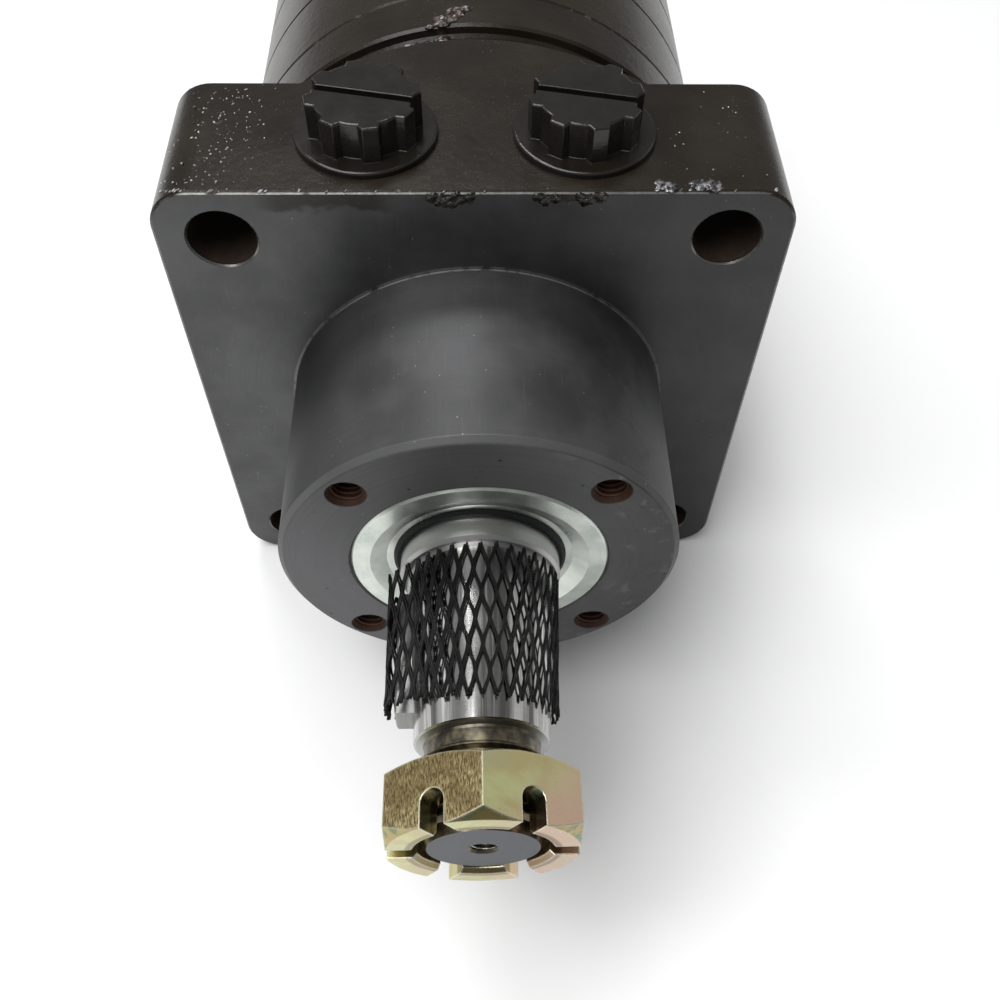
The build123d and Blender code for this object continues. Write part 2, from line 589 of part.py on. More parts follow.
# ---- rotor set ---------------------------------------------------------------------------------------
STATOR_FRONT = HOUSING_REAR
ROLLER_CHAMFER = 0.3
SPACER_Y = 91.6
SPACER_R = 11.0
SPACER_BORE_R = 3.0
SPACER_THICKNESS = 1.2


def section_disc(front, rear, inner=0.0):
    """One round section of the rear stack, with broken outer edges."""
    turned([(inner, front), (BODY_R - EDGE_BREAK, front), (BODY_R, front + EDGE_BREAK),
            (BODY_R, rear - EDGE_BREAK), (BODY_R - EDGE_BREAK, rear), (inner, rear)])


with BuildPart() as stator_ring:
    section_disc(STATOR_FRONT, STATOR_REAR, STATOR_BORE_R)
    pocket_places = [spot(ROLLER_CIRCLE_R, angle) for angle in roller_angles]
    holes(POCKET_R, pocket_places, STATOR_FRONT - 1, STATOR_REAR + 1)
    holes(BOLT_HOLE_R, bolt_places, STATOR_FRONT - 1, STATOR_REAR + 1)
    holes(GALLERY_R, gallery_places, STATOR_FRONT - 1, STATOR_REAR + 1)
    seal_groove(STATOR_REAR, -1)
stator_ring.part.label = "stator_ring"
export_step(stator_ring.part, "parts/stator_ring.step")

for index, angle in enumerate(roller_angles, start=1):
    with BuildPart() as stator_roller:
        roller_place = spot(ROLLER_CIRCLE_R, angle)
        holes(ROLLER_R, [roller_place], STATOR_FRONT + FACE_GAP, STATOR_REAR - FACE_GAP, Mode.ADD)
        chamfer(stator_roller.edges().filter_by(GeomType.CIRCLE), ROLLER_CHAMFER)
    stator_roller.part.label = f"stator_roller_{index}"
    export_step(stator_roller.part, f"parts/stator_roller_{index}.step")

rotor_z = -ECCENTRICITY         # at rest the rotor sits against the lowest roller
FLANK_POINTS = 120

with BuildPart() as rotor:
    with BuildSketch(across(STATOR_REAR - FACE_GAP, rotor_z)):
        with BuildLine():
            flank = [rotor_point(2 * pi * step / FLANK_POINTS) for step in range(FLANK_POINTS)]
            Spline(*flank, periodic=True)
        make_face()
    extrude(amount=STATOR_REAR - STATOR_FRONT - 2 * FACE_GAP)
    with BuildSketch(across(STATOR_REAR, rotor_z)):
        spline_outline()
    extrude(amount=STATOR_REAR - STATOR_FRONT, mode=Mode.SUBTRACT)
rotor.part.label = "rotor"
export_step(rotor.part, "parts/rotor.step")

# ---- drive link: a crowned spline at each end, tilted between the shaft and the orbiting rotor --------
link_plane = Plane(origin=(0, LINK_FRONT_PIVOT, 0), x_dir=(1, 0, 0),
                   z_dir=(0, LINK_REAR_PIVOT - LINK_FRONT_PIVOT, -ECCENTRICITY))
link_length = sqrt((LINK_REAR_PIVOT - LINK_FRONT_PIVOT) ** 2 + ECCENTRICITY**2)

with BuildPart() as drive_link:
    crowned_head(link_plane, 0, CROWN_HALF_LENGTH)
    crowned_head(link_plane, link_length, CROWN_HALF_LENGTH)
    with BuildSketch(link_plane.offset(-CROWN_HALF_LENGTH + 0.5)) as neck_section:
        Circle(LINK_NECK_R)
    extrude(neck_section.sketch, amount=link_length + 2 * CROWN_HALF_LENGTH - 1.0)
    with BuildSketch(link_plane.offset(-CROWN_HALF_LENGTH - LINK_NOSE_LENGTH)) as nose_section:
        Circle(LINK_NOSE_R)
    extrude(nose_section.sketch, amount=LINK_NOSE_LENGTH + 1.0)
drive_link.part.label = "drive_link"
export_step(drive_link.part, "parts/drive_link.step")

with BuildPart() as link_spacer:
    # a loose disc between the two links, centred on the rotor
    with BuildSketch(across(SPACER_Y, rotor_z)):
        Circle(SPACER_R)
        Circle(SPACER_BORE_R, mode=Mode.SUBTRACT)
    extrude(amount=SPACER_THICKNESS)
link_spacer.part.label = "link_spacer"
export_step(link_spacer.part, "parts/link_spacer.step")

# ---- channel plate and rotary disc valve -------------------------------------------------------------
CHANNEL_BORE_R = 13.0
CHANNEL_R = 2.8
CHANNEL_STATOR_R = 35.5
CHANNEL_VALVE_R = 26.5
VALVE_FRONT = CHANNEL_REAR + FACE_GAP
VALVE_PORTS = 6
VALVE_PORT_R = 3.2
VALVE_POCKET_DEPTH = 4.0
VALVE_POCKET_LENGTH = 14.0
VALVE_POCKET_WIDTH = 6.6
VALVE_LINK_NECK_R = 7.0
VALVE_LINK_FRONT_HALF = 2.2
VALVE_LINK_REAR_HALF = 3.2

with BuildPart() as channel_plate:
    section_disc(STATOR_REAR, CHANNEL_REAR)
    bore(CHANNEL_BORE_R, STATOR_REAR - 1, CHANNEL_REAR + 1)
    holes(BOLT_HOLE_R, bolt_places, STATOR_REAR - 1, CHANNEL_REAR + 1)
    holes(GALLERY_R, gallery_places, STATOR_REAR - 1, CHANNEL_REAR + 1)
    for angle in chamber_angles:
        # slanted channel from a rotor chamber inward to the valve's face
        front_x, front_z = spot(CHANNEL_STATOR_R, angle)
        rear_x, rear_z = spot(CHANNEL_VALVE_R, angle)
        channel_run = Vector(rear_x - front_x, CHANNEL_REAR - STATOR_REAR, rear_z - front_z)
        channel_start = Vector(front_x, STATOR_REAR, front_z) - channel_run * 0.1
        with BuildSketch(Plane(origin=channel_start, z_dir=channel_run)):
            Circle(CHANNEL_R)
        extrude(amount=channel_run.length * 1.2, mode=Mode.SUBTRACT)
    seal_groove(CHANNEL_REAR, -1)
channel_plate.part.label = "channel_plate"
export_step(channel_plate.part, "parts/channel_plate.step")

with BuildPart() as disc_valve:
    turned([(0, VALVE_FRONT), (VALVE_R, VALVE_FRONT), (VALVE_R, VALVE_REAR - 0.5),
            (VALVE_R - 0.5, VALVE_REAR), (0, VALVE_REAR)])
    with BuildSketch(across(VALVE_REAR + 1)):
        spline_outline(scale=VALVE_SPLINE_SCALE)
    extrude(amount=VALVE_REAR - VALVE_FRONT + 2, mode=Mode.SUBTRACT)
    # six pockets open to the rim and six through ports, by turns, over the channel circle
    with BuildSketch(across(VALVE_FRONT + VALVE_POCKET_DEPTH)):
        with PolarLocations(CHANNEL_VALVE_R + 4.0, VALVE_PORTS):
            Rectangle(VALVE_POCKET_LENGTH, VALVE_POCKET_WIDTH)
    extrude(amount=VALVE_POCKET_DEPTH + 1.0, mode=Mode.SUBTRACT)
    port_spots = [spot(CHANNEL_VALVE_R - 0.5, 60 * index + 60) for index in range(VALVE_PORTS)]
    holes(VALVE_PORT_R, port_spots, VALVE_FRONT - 1, VALVE_REAR + 1)
disc_valve.part.label = "disc_valve"
export_step(disc_valve.part, "parts/disc_valve.step")

valve_link_plane = Plane(origin=(0, VALVE_FRONT_PIVOT, -ECCENTRICITY), x_dir=(1, 0, 0),
                         z_dir=(0, VALVE_PIVOT - VALVE_FRONT_PIVOT, ECCENTRICITY))
valve_link_length = sqrt((VALVE_PIVOT - VALVE_FRONT_PIVOT) ** 2 + ECCENTRICITY**2)

with BuildPart() as valve_link:
    crowned_head(valve_link_plane, 0, VALVE_LINK_FRONT_HALF)
    crowned_head(valve_link_plane, valve_link_length, VALVE_LINK_REAR_HALF, VALVE_SPLINE_SCALE)
    with BuildSketch(valve_link_plane.offset(-1.5)) as valve_neck_section:
        Circle(VALVE_LINK_NECK_R)
    extrude(valve_neck_section.sketch, amount=valve_link_length + 3.0)
valve_link.part.label = "valve_link"
export_step(valve_link.part, "parts/valve_link.step")

# ---- valve housing, balance ring and end cover -------------------------------------------------------
VALVE_CHAMBER_R = 38.0
BALANCE_FRONT = VALVE_REAR + FACE_GAP
BALANCE_REAR = 139.5
BALANCE_SPIGOT_R = 20.0
BALANCE_SPIGOT_REAR = 148.0
BALANCE_BORE_R = 14.5
BALANCE_LAND_R = 31.0           # face that runs on the valve
BALANCE_LAND_REAR = 135.0
SPIGOT_BORE_R = 20.1
SPIGOT_BORE_FLOOR = 152.0
SPIGOT_SEAL_FRONT = 146.6
SPIGOT_SEAL_REAR = 149.2
SPIGOT_SEAL_R = 22.3
CROSS_GALLERY_Y = 151.0
COVER_RIM_R = 61.2
COVER_RIM_FRONT = 152.0
COVER_EDGE = 1.0
COVER_SHOULDER = 149.0

with BuildPart() as valve_housing:
    section_disc(CHANNEL_REAR, VALVE_HOUSING_REAR, VALVE_CHAMBER_R)
    holes(BOLT_HOLE_R, bolt_places, CHANNEL_REAR - 1, VALVE_HOUSING_REAR + 1)
    holes(GALLERY_R, gallery_places[1:], CHANNEL_REAR - 1, VALVE_HOUSING_REAR + 1)
    holes(GALLERY_R, gallery_places[:1], CHANNEL_REAR - 1, CHANNEL_REAR + 9.0)
    # the first gallery turns inward to the chamber round the valve
    gallery_x, gallery_z = gallery_places[0]
    inward = Vector(-gallery_x, 0, -gallery_z)
    with BuildSketch(Plane(origin=(gallery_x, CHANNEL_REAR + 5.5, gallery_z), z_dir=inward)):
        Circle(GALLERY_R - 0.2)
    extrude(amount=16.0, mode=Mode.SUBTRACT)
    seal_groove(VALVE_HOUSING_REAR, -1)
valve_housing.part.label = "valve_housing"
export_step(valve_housing.part, "parts/valve_housing.step")

with BuildPart() as balance_ring:
    balance_rim_r = VALVE_CHAMBER_R - 0.1
    turned([(BALANCE_BORE_R, BALANCE_FRONT), (BALANCE_LAND_R, BALANCE_FRONT),
            (BALANCE_LAND_R, BALANCE_LAND_REAR), (balance_rim_r, BALANCE_LAND_REAR),
            (balance_rim_r, 136.0), (36.0, 136.0), (36.0, 138.2), (balance_rim_r, 138.2),
            (balance_rim_r, BALANCE_REAR), (BALANCE_SPIGOT_R, BALANCE_REAR),
            (BALANCE_SPIGOT_R, BALANCE_SPIGOT_REAR), (BALANCE_BORE_R, BALANCE_SPIGOT_REAR)])
balance_ring.part.label = "balance_ring"
export_step(balance_ring.part, "parts/balance_ring.step")

with BuildPart() as balance_outer_seal:
    o_ring(37.0, 137.1)
balance_outer_seal.part.label = "balance_outer_seal"
export_step(balance_outer_seal.part, "parts/balance_outer_seal.step")

with BuildPart() as balance_inner_seal:
    o_ring(21.2, 147.9)
balance_inner_seal.part.label = "balance_inner_seal"
export_step(balance_inner_seal.part, "parts/balance_inner_seal.step")

with BuildPart() as balance_spring:
    # a disc spring that holds the balance ring against the valve
    turned([(24.5, BALANCE_REAR + 0.1), (25.9, BALANCE_REAR + 0.1), (35.5, VALVE_HOUSING_REAR - 1.3),
            (35.5, VALVE_HOUSING_REAR - 0.1), (34.3, VALVE_HOUSING_REAR - 0.1), (24.5, BALANCE_REAR + 1.2)])
balance_spring.part.label = "balance_spring"
export_step(balance_spring.part, "parts/balance_spring.step")

with BuildPart() as end_cover:
    turned([(0, SPIGOT_BORE_FLOOR), (SPIGOT_BORE_R, SPIGOT_BORE_FLOOR), (SPIGOT_BORE_R, SPIGOT_SEAL_REAR),
            (SPIGOT_SEAL_R, SPIGOT_SEAL_REAR), (SPIGOT_SEAL_R, SPIGOT_SEAL_FRONT),
            (SPIGOT_BORE_R, SPIGOT_SEAL_FRONT), (SPIGOT_BORE_R, VALVE_HOUSING_REAR),
            (BODY_R - EDGE_BREAK, VALVE_HOUSING_REAR),
            (BODY_R, VALVE_HOUSING_REAR + EDGE_BREAK), (BODY_R, COVER_SHOULDER),
            (COVER_RIM_R, COVER_RIM_FRONT), (COVER_RIM_R, COVER_REAR - COVER_EDGE),
            (COVER_RIM_R - COVER_EDGE, COVER_REAR), (0, COVER_REAR)])
    holes(BOLT_HOLE_R, bolt_places, VALVE_HOUSING_REAR - 1, COVER_REAR + 1)
    # the second gallery turns inward to the centre of the valve
    holes(GALLERY_R, gallery_places[1:], VALVE_HOUSING_REAR - 1, 154.0)
    gallery_x, gallery_z = gallery_places[1]
    inward = Vector(-gallery_x, 0, -gallery_z)
    with BuildSketch(Plane(origin=(gallery_x, CROSS_GALLERY_Y, gallery_z), z_dir=inward)):
        Circle(GALLERY_R - 1.0)
    extrude(amount=36.0, mode=Mode.SUBTRACT)
end_cover.part.label = "end_cover"
export_step(end_cover.part, "parts/end_cover.step")

# ---- O-rings between the sections --------------------------------------------------------------------
for name, face_y in (("housing_o_ring", HOUSING_REAR), ("stator_o_ring", STATOR_REAR),
                     ("channel_o_ring", CHANNEL_REAR), ("cover_o_ring", VALVE_HOUSING_REAR)):
    with BuildPart() as section_o_ring:
        o_ring(RING_SEAL_R, face_y - RING_GROOVE_D / 2)
    section_o_ring.part.label = name
    export_step(section_o_ring.part, f"parts/{name}.step")

# ---- cover bolts and their washers -------------------------------------------------------------------
head_seat = COVER_REAR + BOLT_WASHER_H

with BuildPart() as cover_washers:
    with BuildSketch(across(head_seat)):
        with Locations(*bolt_places):
            Circle(BOLT_WASHER_R)
            Circle(BOLT_HOLE_R, mode=Mode.SUBTRACT)
    extrude(amount=BOLT_WASHER_H)
cover_washers.part.label = "cover_washers"
export_step(cover_washers.part, "parts/cover_washers.step")

with BuildPart() as cover_bolts:
    holes(BOLT_R, bolt_places, BOLT_TIP, head_seat, Mode.ADD)
    with BuildSketch(across(head_seat + BOLT_HEAD_H)) as bolt_heads:
        with Locations(*bolt_places):
            RegularPolygon(BOLT_HEAD_FLATS / 2, 6, major_radius=False)
    extrude(bolt_heads.sketch, amount=BOLT_HEAD_H)
    chamfer(cover_bolts.edges().group_by(Axis.Y)[-1], 0.5)
cover_bolts.part.label = "cover_bolts"
export_step(cover_bolts.part, "parts/cover_bolts.step")

# ---- port plugs --------------------------------------------------------------------------------------
for name, port_x in (("port_plug_left", -PORT_X), ("port_plug_right", PORT_X)):
    with BuildPart() as port_plug:
        with BuildSketch(Plane((port_x, PORT_Y, PORT_TOP - 9.0))) as stem:
            Circle(PORT_STEM_R)
        extrude(stem.sketch, amount=9.0)
        with BuildSketch(Plane((port_x, PORT_Y, PORT_TOP))) as washer_flange:
            Circle(PLUG_FLANGE_R)
        extrude(washer_flange.sketch, amount=PLUG_FLANGE_H)
        fillet(port_plug.faces().sort_by(Axis.Z)[-1].edges(), 0.5)
        # the grip is round with a flat-sided lobe every 45 degrees
        with BuildSketch(Plane((port_x, PORT_Y, PORT_TOP + 0.5))) as grip:
            Circle(PLUG_VALLEY_R)
            with PolarLocations(0, PLUG_LOBES, start_angle=PLUG_SLOT_TURN + 22.5):
                Polygon((8.5, -2.9), (PLUG_HEAD_R, -1.6), (PLUG_HEAD_R, 1.6), (8.5, 2.9), align=None)
        extrude(grip.sketch, amount=PLUG_TOP - PORT_TOP - 0.5)
        fillet(port_plug.faces().sort_by(Axis.Z)[-1].edges(), 0.35)
        slot_floor = PLUG_TOP - PLUG_SLOT_DEPTH
        with BuildSketch(Plane((port_x, PORT_Y, slot_floor))) as slot:
            with Locations(Location((0, 0), PLUG_SLOT_TURN)):
                Rectangle(30.0, PLUG_SLOT_WIDTH)
        extrude(slot.sketch, amount=PLUG_SLOT_DEPTH + 1.0, mode=Mode.SUBTRACT)
    port_plug.part.label = name
    export_step(port_plug.part, f"parts/{name}.step")
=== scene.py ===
"""Visual model of an orbital hydraulic wheel motor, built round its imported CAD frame.

Frame: metres, with the origin on the shaft's axis in the flange's front face, -Y out along the shaft and
+Z out of the ports. Lengths on the object are in millimetres here, and MM turns them into metres. The camera,
the lights and the floor are in metres.
"""

import json
import math
import random

import bpy
from mathutils import Matrix, Vector, noise


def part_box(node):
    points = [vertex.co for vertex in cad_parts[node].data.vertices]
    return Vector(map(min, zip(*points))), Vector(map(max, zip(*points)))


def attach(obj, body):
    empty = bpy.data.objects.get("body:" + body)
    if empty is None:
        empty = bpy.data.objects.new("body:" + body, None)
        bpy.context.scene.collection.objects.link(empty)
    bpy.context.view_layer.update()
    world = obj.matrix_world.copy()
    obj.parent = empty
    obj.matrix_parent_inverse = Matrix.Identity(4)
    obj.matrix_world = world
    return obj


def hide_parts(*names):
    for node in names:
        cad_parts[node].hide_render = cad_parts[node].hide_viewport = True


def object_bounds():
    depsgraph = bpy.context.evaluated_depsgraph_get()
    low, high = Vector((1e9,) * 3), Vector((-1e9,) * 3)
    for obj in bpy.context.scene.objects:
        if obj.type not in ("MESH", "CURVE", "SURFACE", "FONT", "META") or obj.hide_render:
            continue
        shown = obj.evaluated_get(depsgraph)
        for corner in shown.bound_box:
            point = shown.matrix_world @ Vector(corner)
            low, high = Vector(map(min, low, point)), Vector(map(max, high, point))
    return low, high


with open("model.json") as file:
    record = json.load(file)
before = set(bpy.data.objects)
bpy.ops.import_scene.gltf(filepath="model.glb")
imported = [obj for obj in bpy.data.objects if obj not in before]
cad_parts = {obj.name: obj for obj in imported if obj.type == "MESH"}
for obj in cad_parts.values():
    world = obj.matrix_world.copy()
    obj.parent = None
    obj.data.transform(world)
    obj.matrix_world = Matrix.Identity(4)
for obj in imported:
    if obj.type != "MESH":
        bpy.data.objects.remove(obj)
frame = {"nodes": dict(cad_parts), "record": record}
nodes = frame["nodes"]
cad_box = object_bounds()
MM = 0.001


# ---- places on the object ------------------------------------------------------------------------
def lowest(node, axis):
    """The lowest x, y or z of a CAD node, in millimetres."""
    return round(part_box(node)[0]["xyz".index(axis)] / MM, 3)


def highest(node, axis):
    """The highest x, y or z of a CAD node, in millimetres."""
    return round(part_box(node)[1]["xyz".index(axis)] / MM, 3)


BLOCK_TOP = highest("housing", "z")     # the flange block's top face
BLOCK_REAR = 36.5                       # and its back, where the mounting holes come out
NECK_FRONT = lowest("housing", "y")     # the neck's front end
NECK_R = 44.1                           # the neck's radius
HOLE_AT = 52.18                         # the mounting holes are at (+-HOLE_AT, +-HOLE_AT)
TAP_AT = 26.76                          # and the tapped holes in the neck's front at (+-TAP_AT, +-TAP_AT)
TAPER_START = -52.1                     # the large end of the shaft's taper, next to the journal
TAPER_END = -89.0                       # and its small end, next to the thread
SHAFT_TIP = lowest("output_shaft", "y")
GROOVE_FRONT, GROOVE_REAR = 54.5, 60.5  # the groove behind the ports
# the sections behind the housing, each with a joint line at its front
SECTIONS = ("stator_ring", "channel_plate", "valve_housing", "end_cover")


# ---- material helper -----------------------------------------------------------------------------
class Graph:
    """A procedural material: short calls for the nodes that every finish here is made of."""

    def __init__(self, name, metallic=0.0, roughness=0.5):
        self.material = bpy.data.materials.new(name)
        self.material.use_nodes = True
        self.tree = self.material.node_tree
        self.shader = self.tree.nodes["Principled BSDF"]
        self.shader.inputs["Metallic"].default_value = metallic
        self.shader.inputs["Roughness"].default_value = roughness
        coords = self.tree.nodes.new("ShaderNodeTexCoord")
        scaled = self.tree.nodes.new("ShaderNodeVectorMath")
        scaled.operation = "SCALE"
        scaled.inputs["Scale"].default_value = 1 / MM
        self.tree.links.new(coords.outputs["Object"], scaled.inputs[0])
        self.place = scaled.outputs[0]  # in millimetres, fixed to the piece
        self.x, self.y, self.z = self.split(self.place)
        self.nx, self.ny, self.nz = self.split(coords.outputs["Normal"])
        self.radius = self.math("SQRT", self.math("ADD", self.square(self.x), self.square(self.z)))

    def new(self, kind, **settings):
        node = self.tree.nodes.new(kind)
        for key, value in settings.items():
            setattr(node, key, value)
        return node

    def put(self, socket, value):
        """Link a socket to another one, or give it a number or colour."""
        if isinstance(value, bpy.types.NodeSocket):
            self.tree.links.new(value, socket)
        elif isinstance(value, (tuple, list)) and len(value) == 3 and socket.type == "RGBA":
            socket.default_value = (*value, 1)
        else:
            socket.default_value = value

    def split(self, vector):
        node = self.new("ShaderNodeSeparateXYZ")
        self.put(node.inputs[0], vector)
        return node.outputs[0], node.outputs[1], node.outputs[2]

    def math(self, operation, a, b=0.0, clamp=False):
        node = self.new("ShaderNodeMath", operation=operation, use_clamp=clamp)
        self.put(node.inputs[0], a)
        self.put(node.inputs[1], b)
        return node.outputs[0]

    def square(self, a):
        return self.math("MULTIPLY", a, a)

    def over(self, a, low, high):
        """0 below low, 1 above high, and the other way round if low is the larger."""
        node = self.new("ShaderNodeMapRange", interpolation_type="SMOOTHSTEP")
        self.put(node.inputs["Value"], a)
        flip = low > high
        self.put(node.inputs["From Min"], min(low, high))
        self.put(node.inputs["From Max"], max(low, high))
        self.put(node.inputs["To Min"], 1.0 if flip else 0.0)
        self.put(node.inputs["To Max"], 0.0 if flip else 1.0)
        return node.outputs["Result"]

    def both(self, *masks):
        """Where all the masks are."""
        result = masks[0]
        for mask in masks[1:]:
            result = self.math("MULTIPLY", result, mask, clamp=True)
        return result

    def either(self, *masks):
        """Where any of the masks is."""
        result = masks[0]
        for mask in masks[1:]:
            result = self.math("MAXIMUM", result, mask)
        return result

    def mix(self, mask, a, b):
        """One colour where the mask is 0 and another where it is 1."""
        node = self.new("ShaderNodeMix", data_type="RGBA")
        self.put(node.inputs[0], mask)
        self.put(node.inputs[6], a)
        self.put(node.inputs[7], b)
        return node.outputs[2]

    def tint(self, colour, mask, share, other):
        """The colour with a share of another one over it, where the mask is."""
        return self.mix(self.math("MULTIPLY", mask, share), colour, other)

    def blend(self, mask, a, b):
        """One number where the mask is 0 and another where it is 1."""
        node = self.new("ShaderNodeMix", data_type="FLOAT")
        self.put(node.inputs[0], mask)
        self.put(node.inputs[2], a)
        self.put(node.inputs[3], b)
        return node.outputs[0]

    def turn_into(self, mask, a, b):
        """One normal where the mask is 0 and another where it is 1."""
        node = self.new("ShaderNodeMix", data_type="VECTOR")
        self.put(node.inputs[0], mask)
        self.put(node.inputs[4], a)
        self.put(node.inputs[5], b)
        return node.outputs[1]

    def stretched(self, sx, sy, sz):
        """The place with a scale of its own along each axis."""
        node = self.new("ShaderNodeVectorMath", operation="MULTIPLY")
        self.put(node.inputs[0], self.place)
        node.inputs[1].default_value = (sx, sy, sz)
        return node.outputs[0]

    def around(self, along, turn):
        """A vector that repeats round the shaft: along the axis by one scale and round it by another."""
        angle = self.math("ARCTAN2", self.x, self.z)
        node = self.new("ShaderNodeCombineXYZ")
        self.put(node.inputs[0], self.math("MULTIPLY", angle, turn))
        self.put(node.inputs[1], self.math("MULTIPLY", self.y, along))
        self.put(node.inputs[2], self.math("MULTIPLY", self.radius, along))
        return node.outputs[0]

    def noise(self, scale, detail=4.0, vector=None, distortion=0.0, rough=0.55):
        node = self.new("ShaderNodeTexNoise")
        self.put(node.inputs["Vector"], self.place if vector is None else vector)
        node.inputs["Scale"].default_value = scale
        node.inputs["Detail"].default_value = detail
        node.inputs["Roughness"].default_value = rough
        node.inputs["Distortion"].default_value = distortion
        return node.outputs[0]

    def cells(self, scale):
        node = self.new("ShaderNodeTexVoronoi")
        self.put(node.inputs["Vector"], self.place)
        node.inputs["Scale"].default_value = scale
        return node.outputs["Distance"]

    def bump(self, height, strength, distance=0.0001, under=None):
        node = self.new("ShaderNodeBump")
        self.put(node.inputs["Height"], height)
        self.put(node.inputs["Strength"], strength)
        node.inputs["Distance"].default_value = distance
        if under is not None:
            self.put(node.inputs["Normal"], under)
        return node.outputs[0]

    def rounded(self, reach):
        """The surface's normal with its sharp edges softened over reach, in millimetres."""
        node = self.new("ShaderNodeBevel", samples=6)
        node.inputs["Radius"].default_value = reach * MM
        return node.outputs[0]

    def edges(self, reach):
        """A mask of what lies near a sharp edge."""
        geometry = self.new("ShaderNodeNewGeometry")
        node = self.new("ShaderNodeVectorMath", operation="DOT_PRODUCT")
        self.put(node.inputs[0], self.rounded(reach))
        self.put(node.inputs[1], geometry.outputs["Normal"])
        return self.over(node.outputs["Value"], 0.985, 0.93)

    def within(self, a, low, high, soft=0.5):
        """1 between low and high, and 0 outside."""
        return self.both(self.over(a, low, low + soft), self.over(a, high, high - soft))

    def finish(self, colour=None, roughness=None, metallic=None, normal=None, **fixed):
        """Join the results to the shader, with further settings by name, and return the material."""
        given = {"Base Color": colour, "Roughness": roughness, "Metallic": metallic, "Normal": normal}
        for key, value in given.items():
            if value is not None:
                self.put(self.shader.inputs[key], value)
        for key, value in fixed.items():
            self.shader.inputs[key.replace("_", " ")].default_value = value
        return self.material


# ---- paint and iron ------------------------------------------------------------------------------
def painted_look(g):
    """Colour, roughness and normal of satin black paint over cast and machined iron."""
    cloud = g.noise(0.035, 5)
    fine = g.noise(1.6, 3)
    colour = g.mix(g.over(cloud, 0.3, 0.75), (0.0105, 0.0080, 0.0054), (0.0225, 0.0175, 0.0120))
    specks_and_glints = g.both(g.over(g.cells(0.75), 0.16, 0.05), g.over(g.noise(0.06, 2), 0.5, 0.62))
    # the raised specks are also tinted lighter as painted highlights
    colour = g.tint(colour, specks_and_glints, 0.25, (0.11, 0.105, 0.095))
    rough = g.math("ADD", g.math("MULTIPLY", cloud, 0.16), g.math("MULTIPLY", fine, 0.08))
    rough = g.math("ADD", rough, 0.15)
    normal = g.bump(g.noise(0.5, 4), 0.22, 0.0003)
    normal = g.bump(fine, 0.18, 0.00008, normal)
    normal = g.bump(specks_and_glints, 0.5, 0.00015, normal)
    return colour, rough, normal


def black_paint():
    """Paint on the rear sections, duller than the housing's and lighter here and there along their joints."""
    g = Graph("black_paint")
    colour, rough, normal = painted_look(g)
    joints = []
    for section in SECTIONS:
        away = g.math("ABSOLUTE", g.math("SUBTRACT", g.y, lowest(section, "y")))
        joints.append(g.over(away, 0.8, 0.4))
    # lighter marks here and there along the joints
    worn = g.both(g.either(*joints), g.over(g.noise(0.4, 4), 0.56, 0.66))
    colour = g.mix(worn, colour, (0.10, 0.095, 0.085))
    colour = g.mix(0.35, colour, (0.040, 0.034, 0.026))     # faded
    return g.finish(colour, rough, None, normal, Specular_IOR_Level=0.17)


def machined_zones(g):
    """Masks of the flange's face, the neck, and the neck's front end."""
    facing = g.over(g.ny, -0.93, -0.97)
    face = g.both(facing, g.over(g.y, 0.5, 0.2), g.over(g.y, -0.6, -0.3))
    neck = g.both(g.over(g.radius, NECK_R + 0.5, NECK_R + 0.2), g.over(g.y, -0.05, -0.15))
    neck_end = g.both(facing, g.over(g.y, NECK_FRONT + 0.5, NECK_FRONT + 0.2))
    return face, neck, neck_end


def tooled_iron(g, smear, neck):
    """Long fine tool marks, a slow change of tone, and a brown stain on the neck's right."""
    turned = g.noise(1.0, 3, g.around(2.6, 1.3))
    milled = g.noise(1.0, 3, g.stretched(1.4, 0.1, 0.12))
    iron = g.mix(g.over(smear, 0.3, 0.72), (0.075, 0.076, 0.078), (0.125, 0.126, 0.13))
    iron = g.tint(iron, turned, 0.4, (0.062, 0.060, 0.056))
    iron = g.tint(iron, g.over(milled, 0.55, 0.75), 0.15, (0.17, 0.17, 0.18))
    stain = g.both(g.over(g.noise(0.16, 5), 0.5, 0.62), g.over(g.x, 12, 34), neck)
    return g.tint(iron, stain, 0.32, (0.045, 0.036, 0.028))


def neck_end_marks_and_light(g, iron, neck_end):
    """The neck's front end: turned rings, paler at the lower left as painted light, with pale blots and dark
    pocks.
    """
    rings = g.noise(1.0, 2, g.around(5.0, 0.25))
    iron = g.tint(iron, neck_end, 0.5, g.mix(rings, (0.09, 0.09, 0.094), (0.16, 0.16, 0.165)))
    # painted light: the end is made paler towards the lower left
    pale = g.both(neck_end, g.over(g.math("ADD", g.math("MULTIPLY", g.x, 1.4), g.z), -8, -58))
    iron = g.tint(iron, pale, 0.27, (0.24, 0.24, 0.25))
    to_right = g.over(g.math("ADD", g.x, g.radius), 52, 70)
    blots = g.both(neck_end, g.over(g.noise(0.22, 5), 0.56, 0.66), to_right)
    iron = g.tint(iron, blots, 0.5, (0.22, 0.215, 0.20))
    pocks = g.both(neck_end, g.over(g.cells(0.32), 0.13, 0.09), g.over(g.noise(0.11, 3), 0.5, 0.6))
    return g.tint(iron, pocks, 0.8, (0.02, 0.02, 0.02))


